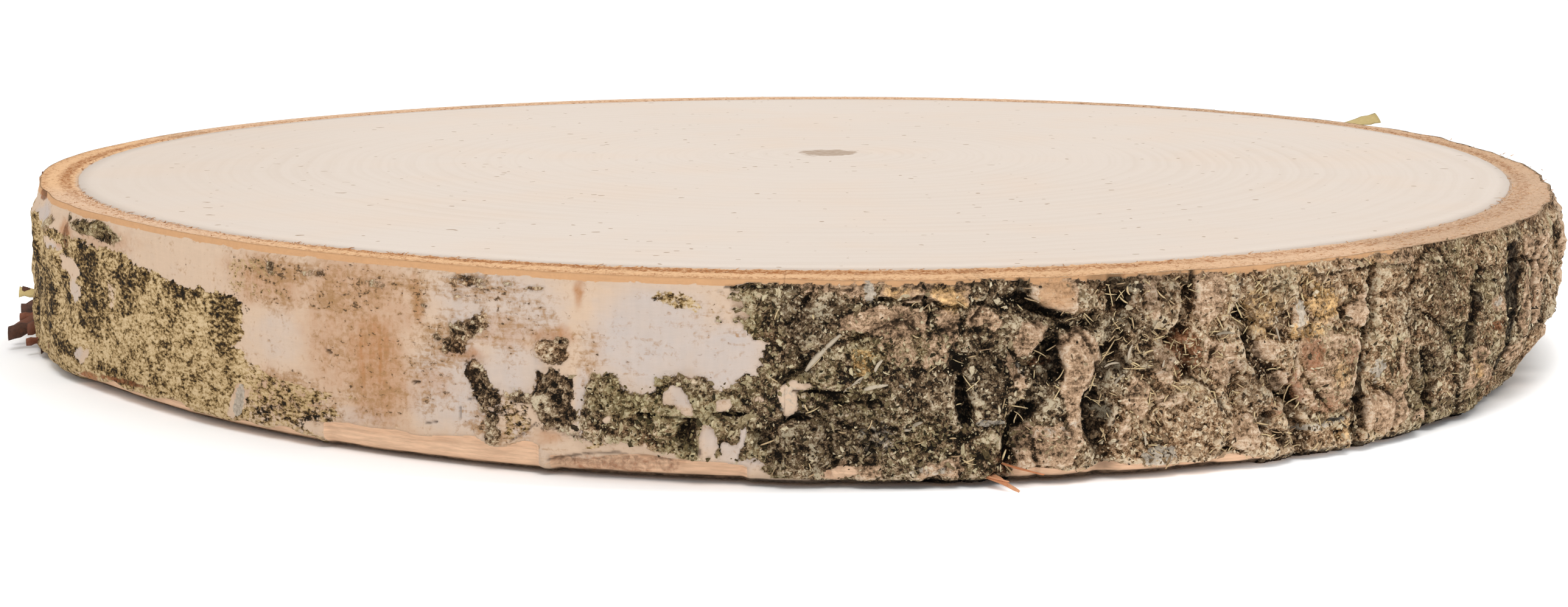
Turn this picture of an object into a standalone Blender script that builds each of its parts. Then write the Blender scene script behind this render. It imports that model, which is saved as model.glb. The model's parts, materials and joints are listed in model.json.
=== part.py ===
"""Birch wood slice: a flat disc sawn across a birch trunk, with its bark still on.

It grew as one piece, so it is one solid: two sawn faces, and a rim of bark between them. The bark is
papery and nearly smooth on the young-looking left side and thick and cracked on the right side. A few
shreds of bark and splinters left by the saw stand out of the rim.

Frame: metres, +Z up, origin on the lower sawn face, under the middle of the slice.
An angle goes round the rim in degrees, from 0 at the front (-Y) through 90 at the right (+X).
A height is measured in millimetres up from the lower face, and so is every depth in the bark.
"""

import math

import bmesh
import bpy
import numpy as np
from mathutils import Matrix, Vector

MM = 0.001

# Driving dimensions, in millimetres
THICKNESS = 15.0
MEAN_RADIUS = 69.86
RIM_LOBES = ((1, 0.21, 125.8), (2, 1.31, 42.3), (3, 1.31, 17.5))  # order, size, angle of a peak

# The bark's two sides
CORKY_FROM = -5.0
CORKY_TO = 150.0
CORKY_BLEND = 5.0

# Grid of the bark
COLUMNS = 372
CORKY_COLUMN_DENSITY = 1.5
ROW_HEIGHTS = (0.0, 0.5, 1.4, 2.5, 3.8, 5.2, 6.6, 8.0, 9.4, 10.8, 12.2, 13.4, 14.4, 15.0)

# Furrows of the corky side: half width, depth, and a route of (angle, height)
FURROWS = (
    (0.55, 1.1, ((8.4, 9.6), (8.8, 7.0), (9.2, 3.8))),
    (0.80, 1.4, ((11.2, 15.0), (12.1, 13.2), (13.6, 12.1), (15.3, 11.4), (16.6, 11.7))),
    (0.80, 1.5, ((14.4, 11.2), (13.5, 8.6), (13.4, 6.6), (12.3, 5.0), (11.8, 2.6), (11.2, 0.0))),
    (0.80, 1.5, ((17.4, 15.0), (18.4, 11.6), (17.4, 8.0), (16.4, 5.0), (16.8, 2.8), (17.6, 1.0))),
    (0.55, 1.5, ((22.9, 15.0), (22.4, 13.2), (22.6, 11.8), (21.8, 10.0), (22.8, 7.6))),
    (0.70, 1.7, ((26.2, 11.4), (27.1, 8.0), (28.6, 6.0), (29.9, 4.6), (30.9, 1.0))),
    (0.60, 1.7, ((36.7, 14.2), (36.4, 11.0), (35.8, 8.0), (35.4, 5.0), (35.3, 0.0))),
    (0.65, 1.6, ((42.0, 6.5), (42.8, 4.0), (43.4, 1.0))),
    (0.65, 1.6, ((48.4, 14.0), (47.8, 10.4), (47.2, 7.6), (46.8, 5.8))),
    (1.10, 2.4, ((53.4, 14.6), (54.3, 11.6), (54.4, 8.6), (53.8, 6.2), (54.2, 3.6), (53.8, 1.2))),
    (0.55, 1.3, ((58.6, 12.6), (58.2, 9.4), (58.9, 6.2), (58.2, 3.4))),
)

# Beyond the last of those, furrows follow a rule: one every few degrees, wandering as it climbs
BACK_FURROWS_FROM = 63.5
BACK_FURROWS_TO = 148.0
BACK_FURROW_STEP = 5.6
BACK_FURROW_JITTER = 1.5
BACK_FURROW_WANDER = 0.9
BACK_FURROW_HALF_WIDTH = (0.55, 0.95)
BACK_FURROW_DEPTH = (1.2, 2.0)

# Corky plates between the furrows, and the gentle waves of the papery side
PLATE_WIDE, PLATE_TALL = 5.2, 5.6
PLATE_HEIGHT_SPREAD = 0.75
PLATE_GAP_HALF_WIDTH = 0.75
PLATE_GAP_DEPTH = 0.55
LUMP_WIDE, LUMP_TALL, LUMP_HEIGHT = 2.6, 2.2, 0.55
WAVE_WIDE, WAVE_TALL, WAVE_HEIGHT = 16.0, 9.0, 0.45

# Scabs of rough crust on the papery side: angle, height, half width, half height, how proud
SCABS = (
    (-57.0, 10.6, 5.5, 1.3, 0.35),
    (-62.0, 13.6, 4.0, 0.5, 0.30),
    (-43.5, 7.6, 2.2, 2.0, 0.30),
    (-21.9, 9.9, 1.5, 1.3, 0.45),
    (-20.6, 6.2, 1.3, 2.0, 0.45),
    (-16.4, 9.2, 1.2, 0.7, 0.50),
    (-16.2, 5.6, 1.8, 2.2, 0.50),
    (-11.4, 4.4, 3.6, 2.4, 0.55),
    (-7.2, 3.6, 2.4, 2.4, 0.50),
    (-20.4, 2.7, 1.0, 1.2, 0.35),
)

# Bark broken off along the lower edge: angles it runs between, its height, and its depth
LOWER_CHIPS = (
    (-66.0, -34.2, 0.8, 0.40),
    (-34.0, -16.6, 1.9, 0.55),
    (-16.4, -3.5, 1.5, 0.80),
    (11.6, 28.0, 0.9, 0.55),
    (196.0, 214.0, 1.4, 0.60),
    (236.0, 262.0, 1.0, 0.50),
)
LOWER_CHIP_BLEND = 0.7

# The long undercut at the lower right, where the slice is narrower below than above
UNDERCUT_FROM, UNDERCUT_MIDDLE, UNDERCUT_TO = 33.0, 60.0, 92.0
UNDERCUT_HEIGHT = 5.2
UNDERCUT_DEPTH = 2.75

# The saw leaves the bark's corners a little worn
WORN_EDGE_HEIGHT = 0.9
WORN_EDGE_DEPTH = 0.35

# Shreds of bark and splinters of wood: angle, height and width at the root, how far they stand out,
# how much the tip rises and runs round the rim, thickness at the root, and the tip's share of it
SHREDS = (
    (-91.4, 14.1, 3.4, 2.5, 0.3, -0.6, 1.0, 0.35),
    (-79.6, 13.8, 1.8, 0.8, 0.3, 0.3, 1.3, 0.45),
    (-77.6, 12.2, 1.0, 1.1, 0.2, 0.5, 0.8, 0.30),
    (-84.8, 4.6, 2.2, 2.2, 0.9, 1.0, 1.0, 0.40),
    (-82.6, 3.6, 2.6, 2.9, -0.6, -0.8, 1.2, 0.45),
    (-80.3, 2.5, 2.2, 2.4, -0.9, 0.8, 1.0, 0.40),
    (-78.0, 1.8, 1.8, 1.4, -0.4, 1.1, 0.9, 0.40),
    (123.8, 14.1, 2.6, 4.8, 0.9, 0.6, 1.2, 0.80),
    (10.0, 0.80, 0.9, 3.2, -0.25, 1.2, 0.7, 0.35),
    (10.8, 0.80, 1.0, 3.8, -0.25, 1.9, 0.7, 0.30),
    (11.8, 0.80, 0.9, 2.7, -0.25, 2.6, 0.7, 0.35),
    (62.0, 8.4, 1.4, 0.9, 0.3, 0.5, 0.9, 0.45),
    (70.0, 4.9, 1.6, 1.0, -0.3, 0.4, 0.9, 0.45),
    (152.0, 3.0, 2.0, 1.6, -0.5, 1.0, 0.9, 0.45),
    (203.0, 13.6, 2.2, 1.5, 0.4, -0.9, 0.9, 0.40),
)
SHRED_ROOT_DEPTH = 2.6
SHRED_SIDES = 6
SHRED_STEPS = 3

# A small polygon in the middle of each sawn face, which the rest of the face is filled round
CORE_RADIUS = 24.0
CORE_SIDES = 12

BARK_COLOUR = (0.24, 0.20, 0.14, 1.0)
BARK_ROUGHNESS = 0.88


def smooth(x):
    """0 below 0, 1 above 1, and an even S between."""
    x = np.clip(x, 0.0, 1.0)
    return x * x * (3.0 - 2.0 * x)


def from_front(angle):
    """The same angle, from -180 to 180."""
    return (np.asarray(angle) + 180.0) % 360.0 - 180.0


def along_rim(angle):
    """Millimetres round the rim from the front."""
    return np.radians(angle) * MEAN_RADIUS


def rim_radius(angle):
    """The slice's outline in plan, in millimetres: a circle with a few low lobes."""
    radius = MEAN_RADIUS + 0.0 * np.asarray(angle, float)
    for order, size, peak in RIM_LOBES:
        radius = radius + size * np.cos(order * np.radians(angle - peak))
    return radius


def corky(angle):
    """1 on the thick, cracked side of the bark and 0 on the papery side."""
    a = from_front(angle)
    return smooth((a - CORKY_FROM) / CORKY_BLEND) * (1.0 - smooth((a - CORKY_TO) / CORKY_BLEND))


def lattice(i, j, seed):
    """A fixed random number from 0 to 1 for each whole i and j."""
    mixed = (i * 73856093) ^ (j * 19349663) ^ (seed * 83492791)
    mixed = ((mixed ^ (mixed >> 13)) * 1274126177) & 0xFFFFFFFF
    return ((mixed ^ (mixed >> 16)) & 0xFFFFFF) / 0xFFFFFF


def noise(along, height, wide, tall, seed):
    """Smooth lumps from -1 to 1, about wide by tall millimetres, that close up round the rim."""
    around = round(2.0 * math.pi * MEAN_RADIUS / wide)
    u = along / (2.0 * math.pi * MEAN_RADIUS) * around
    v = height / tall
    i, j = np.floor(u).astype(np.int64), np.floor(v).astype(np.int64)
    du, dv = smooth(u - i), smooth(v - j)
    low = lattice(i % around, j, seed) * (1 - du) + lattice((i + 1) % around, j, seed) * du
    high = lattice(i % around, j + 1, seed) * (1 - du) + lattice((i + 1) % around, j + 1, seed) * du
    return 2.0 * (low * (1 - dv) + high * dv) - 1.0


def plates(along, height, wide, tall, seed):
    """(distance to the nearest gap, a random number for each plate) of a crazed pattern of plates."""
    around = round(2.0 * math.pi * MEAN_RADIUS / wide)
    u = along / (2.0 * math.pi * MEAN_RADIUS) * around
    v = height / tall
    i0, j0 = np.floor(u).astype(np.int64), np.floor(v).astype(np.int64)
    nearest = np.full(u.shape, 9.0)
    second = np.full(u.shape, 9.0)
    plate = np.zeros(u.shape)
    for di in (-1, 0, 1):
        for dj in (-1, 0, 1):
            i, j = i0 + di, j0 + dj
            x = i + lattice(i % around, j, seed)
            y = j + lattice(i % around, j, seed + 1)
            away = np.hypot(u - x, v - y)
            closer = away < nearest
            second = np.where(closer, nearest, np.minimum(second, away))
            plate = np.where(closer, lattice(i % around, j, seed + 2), plate)
            nearest = np.where(closer, away, nearest)
    return (second - nearest) * min(wide, tall) / 2.0, plate


def route_distance(angle, height, route):
    """Millimetres from each point of the bark to a route of (angle, height) points."""
    best = np.full(np.shape(angle), 1e9)
    for (a0, h0), (a1, h1) in zip(route, route[1:]):
        run, rise = float(along_rim(a1 - a0)), h1 - h0
        x, y = along_rim(from_front(angle - a0)), height - h0
        share = np.clip((x * run + y * rise) / (run * run + rise * rise), 0.0, 1.0)
        best = np.minimum(best, np.hypot(x - share * run, y - share * rise))
    return best


def back_furrows():
    """The furrows that the rule gives, in the form of FURROWS."""
    made = []
    count = int((BACK_FURROWS_TO - BACK_FURROWS_FROM) / BACK_FURROW_STEP)
    for n in range(count):
        luck = [float(lattice(n, k, 7)) for k in range(8)]
        angle = BACK_FURROWS_FROM + n * BACK_FURROW_STEP + BACK_FURROW_JITTER * (2 * luck[0] - 1)
        route = tuple(
            (angle + BACK_FURROW_WANDER * (2 * luck[2 + k] - 1), THICKNESS * k / 4) for k in range(5)
        )
        half_width = np.interp(luck[7], (0, 1), BACK_FURROW_HALF_WIDTH)
        depth = np.interp(luck[1], (0, 1), BACK_FURROW_DEPTH)
        made.append((half_width, depth, route))
    return tuple(made)


def furrow_depth(angle, height):
    depth = np.zeros(np.shape(angle))
    for half_width, deepest, route in FURROWS + back_furrows():
        away = route_distance(angle, height, route)
        depth = np.maximum(depth, deepest * (1.0 - smooth(away / (2.0 * half_width))))
    return depth


def chip_depth(angle, height):
    """How much is gone at the lower edge: short chips, and the long undercut on the right."""
    depth = np.zeros(np.shape(angle))
    wobble = 0.35 * noise(along_rim(angle), height, 2.4, 9.0, 41)
    for start, end, tall, deep in LOWER_CHIPS:
        middle, half = (start + end) / 2.0, (end - start) / 2.0
        inside = 1.0 - smooth((np.abs(from_front(angle - middle)) - half) / LOWER_CHIP_BLEND + 1.0)
        depth = np.maximum(depth, deep * inside * (1.0 - smooth((height - tall - wobble) / 0.5 + 0.5)))
    a = from_front(angle)
    before = smooth((a - UNDERCUT_FROM) / (UNDERCUT_MIDDLE - UNDERCUT_FROM))
    after = 1.0 - smooth((a - UNDERCUT_MIDDLE) / (UNDERCUT_TO - UNDERCUT_MIDDLE))
    undercut = UNDERCUT_DEPTH * before * after * (1.0 - smooth(height / UNDERCUT_HEIGHT))
    return np.maximum(depth, undercut)


def corky_height(angle, height):
    along = along_rim(angle)
    bent = along + 1.4 * noise(along, height, 6.0, 5.0, 11)
    edge, plate = plates(bent, height, PLATE_WIDE, PLATE_TALL, 21)
    gap = 1.0 - smooth(edge / PLATE_GAP_HALF_WIDTH)
    lump = noise(along, height, LUMP_WIDE, LUMP_TALL, 31)
    return PLATE_HEIGHT_SPREAD * (plate - 0.5) - PLATE_GAP_DEPTH * gap + LUMP_HEIGHT / 2.0 * lump


def papery_height(angle, height):
    along = along_rim(angle)
    raised = WAVE_HEIGHT / 2.0 * noise(along, height, WAVE_WIDE, WAVE_TALL, 51)
    for at, up, half_wide, half_tall, proud in SCABS:
        away = np.hypot(along_rim(from_front(angle - at)) / half_wide, (height - up) / half_tall)
        away = away + 0.25 * noise(along, height, 1.6, 1.4, 61)
        raised = raised + proud * (1.0 - smooth((away - 0.75) / 0.5))
    return raised


def bark_radius(angle, height):
    """Distance of the bark's surface from the axis, in millimetres."""
    share = corky(angle)
    relief = share * corky_height(angle, height) + (1.0 - share) * papery_height(angle, height)
    relief = relief - furrow_depth(angle, height) - chip_depth(angle, height)
    from_face = np.minimum(height, THICKNESS - height)
    relief = relief - WORN_EDGE_DEPTH * (1.0 - smooth(from_face / WORN_EDGE_HEIGHT))
    return rim_radius(angle) + relief


def column_angles():
    """Angles of the grid's columns, closer together where the bark is cracked."""
    fine = np.linspace(-180.0, 180.0, 3601)
    density = 1.0 + (CORKY_COLUMN_DENSITY - 1.0) * corky(fine)
    passed = np.concatenate(([0.0], np.cumsum((density[1:] + density[:-1]) / 2.0)))
    return np.interp(np.arange(COLUMNS) / COLUMNS, passed / passed[-1], fine)


def rim_point(angle, radius, height):
    """A point in metres from an angle, a radius and a height in millimetres."""
    turned = math.radians(angle)
    return Vector((radius * math.sin(turned), -radius * math.cos(turned), height)) * MM


def material(name, colour, roughness):
    made = bpy.data.materials.new(name)
    made.use_nodes = True
    shader = made.node_tree.nodes["Principled BSDF"]
    shader.inputs["Base Color"].default_value = colour
    shader.inputs["Roughness"].default_value = roughness
    shader.inputs["Metallic"].default_value = 0.0
    return made


def new_object(name, bm, collection):
    bmesh.ops.recalc_face_normals(bm, faces=bm.faces)
    mesh = bpy.data.meshes.new(name)
    bm.to_mesh(mesh)
    bm.free()
    made = bpy.data.objects.new(name, mesh)
    collection.objects.link(made)
    return made


def lofted(rings):
    """(bmesh, its two open ends' edges) of a tube through rings of points, each ring in the same order."""
    bm = bmesh.new()
    row = bmesh.ops.create_circle(bm, segments=len(rings[0]), radius=MM)["verts"]
    rows = [row]
    edges = first = bm.edges[:]
    for _ in rings[1:]:
        drawn = bmesh.ops.extrude_edge_only(bm, edges=edges)["geom"]
        above = {v for v in drawn if isinstance(v, bmesh.types.BMVert)}
        edges = [e for e in drawn if isinstance(e, bmesh.types.BMEdge) and set(e.verts) <= above]
        row = [next(e.other_vert(v) for e in v.link_edges if e.other_vert(v) in above) for v in row]
        rows.append(row)
    for row, ring in zip(rows, rings):
        for vertex, point in zip(row, ring):
            vertex.co = point
    return bm, (first, edges)


def slice_body(collection):
    """The disc: a ring of columns drawn up row by row, closed by the two sawn faces."""
    angles = column_angles()
    rings = []
    for height in ROW_HEIGHTS:
        radii = bark_radius(angles, np.full(COLUMNS, height))
        rings.append([rim_point(a, r, height) for a, r in zip(angles, radii)])
    bm, ends = lofted(rings)
    for rim, height in zip(ends, (0.0, THICKNESS)):
        place = Matrix.Translation((0.0, 0.0, height * MM))
        core = bmesh.ops.create_circle(
            bm, cap_ends=True, segments=CORE_SIDES, radius=CORE_RADIUS * MM, matrix=place
        )["verts"]
        core_edges = list({e for v in core for e in v.link_edges})
        bmesh.ops.triangle_fill(bm, edges=rim + core_edges, use_beauty=True)
    return new_object("birch_slice", bm, collection)


def shred(n, collection):
    """One tapered strip of bark or wood, bent upwards and round the rim towards its tip."""
    angle, height, width, reach, rise, run, thick, tip = SHREDS[n]
    root = float(rim_radius(angle)) - SHRED_ROOT_DEPTH
    turned = Matrix.Rotation(math.radians(angle), 3, "Z")
    corners = [2.0 * math.pi * k / SHRED_SIDES for k in range(SHRED_SIDES)]
    rings = []
    for share in np.linspace(0.0, 1.0, SHRED_STEPS + 1):
        size = 1.0 + (tip - 1.0) * share**1.5
        bend = share * share
        centre = rim_point(angle, root + (SHRED_ROOT_DEPTH + reach) * share, height + rise * bend)
        across = [run * bend + width / 2.0 * size * math.cos(c) for c in corners]
        up = [thick / 2.0 * size * math.sin(c) for c in corners]
        rings.append([centre + turned @ (Vector((x, 0.0, z)) * MM) for x, z in zip(across, up)])
    bm, ends = lofted(rings)
    for end in ends:
        bmesh.ops.contextual_create(bm, geom=end)
    return new_object(f"shred_{n:02d}", bm, collection)


def fuse(body, collection):
    """Joins the collection's shreds to the body and removes them."""
    joined = body.modifiers.new("shreds", "BOOLEAN")
    joined.operation = "UNION"
    joined.operand_type = "COLLECTION"
    joined.collection = collection
    joined.solver = "EXACT"
    bpy.context.view_layer.objects.active = body
    bpy.ops.object.modifier_apply(modifier=joined.name)
    for piece in list(collection.objects):
        bpy.data.objects.remove(piece)
    bpy.data.collections.remove(collection)


def main():
    for old in list(bpy.data.objects):
        bpy.data.objects.remove(old)
    scene = bpy.context.scene
    body = slice_body(scene.collection)
    shreds = bpy.data.collections.new("shreds")
    scene.collection.children.link(shreds)
    for n in range(len(SHREDS)):
        shred(n, shreds)
    fuse(body, shreds)
    body.data.materials.clear()
    body.data.materials.append(material("birch", BARK_COLOUR, BARK_ROUGHNESS))
    body.data.shade_smooth()
    body.data.set_sharp_from_angle(angle=math.radians(50))


main()
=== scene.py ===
"""Dresses the birch wood slice: the sawn wood, its four stretches of bark, and what clings to them.

Angles go round the rim in degrees, from 0 at the front (-Y) through 90 at the right (+X). Heights are
millimetres up from the lower sawn face. Sizes here are in millimetres, and MM turns them into metres. The
floor's size and drop and the welding distance WELD are in metres.
"""

import json
import math
from types import SimpleNamespace

import bpy
import numpy as np
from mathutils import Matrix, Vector

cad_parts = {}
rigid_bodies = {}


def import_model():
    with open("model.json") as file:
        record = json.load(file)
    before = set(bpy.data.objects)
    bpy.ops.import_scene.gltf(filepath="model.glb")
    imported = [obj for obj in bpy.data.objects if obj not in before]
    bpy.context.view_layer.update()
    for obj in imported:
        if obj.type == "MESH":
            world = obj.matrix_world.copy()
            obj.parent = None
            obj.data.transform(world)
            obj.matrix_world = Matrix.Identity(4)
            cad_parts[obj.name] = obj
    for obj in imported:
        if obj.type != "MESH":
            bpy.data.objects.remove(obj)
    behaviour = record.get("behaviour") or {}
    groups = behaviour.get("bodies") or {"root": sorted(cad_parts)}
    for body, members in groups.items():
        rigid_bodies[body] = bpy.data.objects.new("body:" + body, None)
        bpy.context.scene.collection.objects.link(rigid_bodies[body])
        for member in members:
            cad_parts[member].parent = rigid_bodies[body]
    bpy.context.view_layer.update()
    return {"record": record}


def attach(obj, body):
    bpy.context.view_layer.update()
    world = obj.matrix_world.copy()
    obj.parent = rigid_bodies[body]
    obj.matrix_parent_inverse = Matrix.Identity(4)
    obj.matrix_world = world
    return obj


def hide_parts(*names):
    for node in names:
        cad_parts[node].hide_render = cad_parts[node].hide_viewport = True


bl_info = {
    "name": "Birch Slice",
    "version": (1, 0, 0),
    "blender": (4, 5, 0),
    "location": "3D View > Sidebar > Birch Slice",
    "description": "Builds the finish of a sawn birch slice: wood, bark, crumbs, straw and shreds",
    "category": "Add Mesh",
}

for startup in list(bpy.data.objects):
    bpy.data.objects.remove(startup)
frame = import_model()

MM = 0.001
WELD = 0.000001
LIGHT = 1.2
NODE = "birch_slice"
THICKNESS = next(m for m in frame["record"]["mounts"] if m["name"] == "top_face")["pos_m"][2] / MM

# The camera, as fitted to the photo: its place, its pitch down and roll in degrees, and its focal length
CAMERA_PLACE = (-1.79, -291.3, 49.0)
CAMERA_PITCH = 9.18
CAMERA_ROLL = 0.13
CAMERA_LENS, CAMERA_SENSOR = 71.73, 36.0

# The floor: its glow, painted light that lifts the shadow round the slice, fades in and out between these
# distances from the glow's middle
FLOOR_SIZE = 6.0
FLOOR_DROP = 0.0003
FLOOR_GLOW = 0.6
FLOOR_GLOW_MIDDLE = (-3.0, 0.5, 0.0)
FLOOR_GLOW_FROM, FLOOR_GLOW_TO = (71.0, 75.5), (95.0, 160.0)
FLOOR_COLOUR = (0.98, 0.98, 0.98, 1.0)
BLACK, WHITE = (0.0, 0.0, 0.0, 1.0), (1.0, 1.0, 1.0, 1.0)
SKY_STRENGTH = 0.86

# Lamps: name, the direction they stand in, strength, and how wide they look in degrees
LAMPS = (
    ("key_light", (0.10, -0.66, 1.0), 1.12, 24.0),
    ("top_light", (0.1, 0.2, 1.0), 0.35, 60.0),
)

# The slice's outline, and the line between wood and bark: mean radius, then order, size and angle of a lobe
MEAN_RADIUS = 69.86
RIM_LOBES = ((1, 0.21, 125.8), (2, 1.31, 42.3), (3, 1.31, 17.5))
WOOD_RADIUS = 65.94
WOOD_LOBES = ((1, 1.19, -153.5), (2, 0.60, 57.3), (3, 1.05, 17.5), (4, 0.30, -42.3))
PITH = (2.5, 11.0)

# The bark's two sides
CORKY_FROM = -5.0
CORKY_TO = 150.0
CORKY_BLEND = 5.0

# Where the unseen back begins on the right and on the left, for lichen and for crust, and for plates
LICHEN_BACK = (120.0, -84.0)
CRUST_BACK = (152.0, -96.0)
PLATE_BACK = 61.0

# Furrows of the corky side: half width, depth, and a route of (angle, height)
FURROWS = (
    (0.55, 1.1, ((8.4, 9.6), (8.8, 7.0), (9.2, 3.8))),
    (0.80, 1.4, ((11.2, 15.0), (12.1, 13.2), (13.6, 12.1), (15.3, 11.4), (16.6, 11.7))),
    (0.80, 1.5, ((14.4, 11.2), (13.5, 8.6), (13.4, 6.6), (12.3, 5.0), (11.8, 2.6), (11.2, 0.0))),
    (0.80, 1.5, ((17.4, 15.0), (18.4, 11.6), (17.4, 8.0), (16.4, 5.0), (16.8, 2.8), (17.6, 1.0))),
    (0.55, 1.5, ((22.9, 15.0), (22.4, 13.2), (22.6, 11.8), (21.8, 10.0), (22.8, 7.6))),
    (0.70, 1.7, ((26.2, 11.4), (27.1, 8.0), (28.6, 6.0), (29.9, 4.6), (30.9, 1.0))),
    (0.60, 1.7, ((36.7, 14.2), (36.4, 11.0), (35.8, 8.0), (35.4, 5.0), (35.3, 0.0))),
    (0.65, 1.6, ((42.0, 6.5), (42.8, 4.0), (43.4, 1.0))),
    (0.65, 0.8, ((48.4, 14.0), (47.8, 10.4), (47.2, 7.6), (46.8, 5.8))),
    (1.10, 0.3, ((53.4, 14.6), (54.3, 11.6), (54.4, 8.6), (53.8, 6.2), (54.2, 3.6), (53.8, 1.2))),
    (0.55, 0.7, ((58.6, 12.6), (58.2, 9.4), (58.9, 6.2), (58.2, 3.4))),
)
BACK_FURROWS_FROM = 63.5
BACK_FURROWS_TO = 148.0
BACK_FURROW_STEP = 5.6
BACK_FURROW_JITTER = 1.5
BACK_FURROW_WANDER = 0.9
BACK_FURROW_HALF_WIDTH = (0.55, 0.95)
BACK_FURROW_DEPTH = (1.2, 2.0)

# Corky plates between the furrows, and the gentle waves of the papery side
PLATE_WIDE, PLATE_TALL = 5.2, 5.6
PLATE_HEIGHT_SPREAD = 0.5
PLATE_GAP_HALF_WIDTH = 0.75
PLATE_GAP_DEPTH = 0.34
LUMP_WIDE, LUMP_TALL, LUMP_HEIGHT = 2.6, 2.2, 0.36
WAVE_WIDE, WAVE_TALL, WAVE_HEIGHT = 16.0, 9.0, 0.45

# Scabs of rough crust on the papery side: angle, height, half width, half height, how proud
SCABS = (
    (-57.0, 10.6, 5.5, 1.3, 0.35),
    (-62.0, 13.6, 4.0, 0.5, 0.30),
    (-43.5, 7.6, 2.2, 2.0, 0.30),
    (-21.9, 9.9, 1.5, 1.3, 0.15),
    (-20.6, 6.2, 1.3, 2.0, 0.35),
    (-16.4, 9.2, 1.2, 0.7, 0.50),
    (-16.2, 5.6, 1.8, 2.2, 0.50),
    (-11.4, 4.4, 3.6, 2.4, 0.55),
    (-7.2, 3.6, 2.4, 2.4, 0.50),
    (-20.4, 2.7, 1.0, 1.2, 0.35),
)

# Bark broken off along the lower edge: angles it runs between, its height, and its depth
LOWER_CHIPS = (
    (-66.0, -34.2, 0.8, 0.40),
    (-34.0, -16.6, 1.9, 0.55),
    (-16.4, -3.5, 1.5, 0.80),
    (11.6, 28.0, 0.9, 0.55),
    (196.0, 214.0, 1.4, 0.60),
    (236.0, 262.0, 1.0, 0.50),
)
LOWER_CHIP_BLEND = 0.7
UNDERCUT_FROM, UNDERCUT_MIDDLE, UNDERCUT_TO = 33.0, 70.0, 112.0
UNDERCUT_HEIGHT = 6.5
UNDERCUT_DEPTH = 3.6
WORN_EDGE_HEIGHT = 0.9
WORN_EDGE_DEPTH = 0.35

# The bark is thinner round the right end
LIMB_FROM, LIMB_TO, LIMB_BLEND, LIMB_DEPTH = 66.0, 112.0, 10.0, 1.0

# Furrows fade to this share of their depth between these heights, near the sawn top
FURROW_SHARE_AT_TOP = 0.2
FURROW_FADE = (13.2, 14.9)

# The thick lichen of the left side, and the foot that is drawn in all round
LEFT_CRUST_FROM, LEFT_CRUST_TO = -108.0, -58.0
LEFT_CRUST_HEIGHT = 0.95
FOOT_HEIGHT, FOOT_DEPTH = 0.5, 0.6

# By angle: how much darker the scabs' pits are painted, and how high the painted shadow at the foot reaches
SCAB_SHADE = ((-58.0, 0.0), (-50.0, 0.10), (-24.0, 0.44), (-21.4, 0.44), (-20.8, 0.12), (-18.0, 0.06),
              (-14.2, 0.06), (-13.8, 0.0))
FOOT_SHADE = ((-80, 0.12), (-60, 0.22), (-30, 0.20), (-17, 0.26), (-8, 0.40), (8, 0.44), (26, 0.40),
              (30, 0.6), (38, 0.7), (60, 0.3))

# By angle: the share of the crust's relief that is kept, and the depth of the slots, whose darkness is
# painted shade
CRUST_RELIEF = ((30.0, 1.0), (40.0, 0.6), (62.0, 0.6), (70.0, 1.0))
SLOT_DEPTH = ((30.0, 0.45), (46.0, 0.12))

# How dark and how green the crust is, by angle
DARKNESS = ((-180, 0.5), (-60, 0.8), (-24, 0.6), (-14, 0.55), (-6, 0.78), (2, 0.88), (11, 0.92),
            (13, 0.75), (17, 0.5), (22, 0.3), (30, 0.15), (38, 0.2), (42, 0.62), (53, 0.6), (62, 0.6),
            (90, 0.5), (180, 0.5))
GREENNESS = ((-180, 0.3), (-70, 0.4), (-62, 0.8), (-54, 0.3), (-24, 0.1), (-15, 0.25), (-13, 0.8),
             (-6, 0.65), (0, 0.4), (8, 0.3), (15, 0.2), (20, 0.15), (30, 0.1), (40, 0.3), (48, 0.4),
             (53, 0.35), (60, 0.2), (90, 0.3), (180, 0.3))

# The four stretches of bark: name, angles it runs between, columns, and rows up its side
STRETCHES = (
    ("papery_bark_front", -84.0, -1.5, 640, 104),
    ("cracked_bark_front", -1.5, 62.0, 640, 112),
    ("cracked_bark_back", 62.0, 152.0, 600, 78),
    ("papery_bark_back", 152.0, 276.0, 560, 66),
)

# Rows over the bark's sawn faces and its hidden back, and the wood's columns and rings
TOP_ROWS = 26
BOTTOM_ROWS = 6
HIDDEN_ROWS = 3
WOOD_COLUMNS, WOOD_RINGS = 480, 44

# The bark is at least this thick, and its hidden back reaches this far into the wood and from each face
LEAST_BARK = 0.35
HIDDEN_BACK, HIDDEN_DROP = 0.45, 0.5

# Kinds of ground on the papery side. Lichen: its upper edge by angle, and its right edge by height
LICHEN_TOP = ((-110, 13.0), (-84, 13.4), (-72, 12.9), (-66, 12.5), (-63, 12.5), (-58, 12.3), (-55, 11.9),
              (-50, 11.3), (-46, 10.9), (-42, 10.6), (-40, 9.8), (-34, 5.0), (-30, 4.4))
LICHEN_RIGHT = ((0, -34.0), (1.0, -33.9), (1.8, -33.2), (3.0, -32.6), (4.1, -31.0), (4.7, -37.0),
                (5.6, -40.2), (9.0, -40.8), (10.2, -39.9), (11.0, -42.0))
CRUST_LEFT = ((0, 9.0), (0.5, -2.7), (1.5, -2.8), (1.7, -3.6), (3.0, -3.6), (4.2, -3.7), (5.0, -4.0),
              (6.2, -4.2), (7.2, -4.4), (7.8, -4.2), (8.4, -3.8), (9.3, -3.3), (10.2, -2.7), (10.7, -3.2),
              (11.2, -4.0), (12.0, -4.4), (12.4, -4.2), (12.8, -5.3), (13.8, -5.1), (14.3, -4.8),
              (15.0, -4.6))

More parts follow.
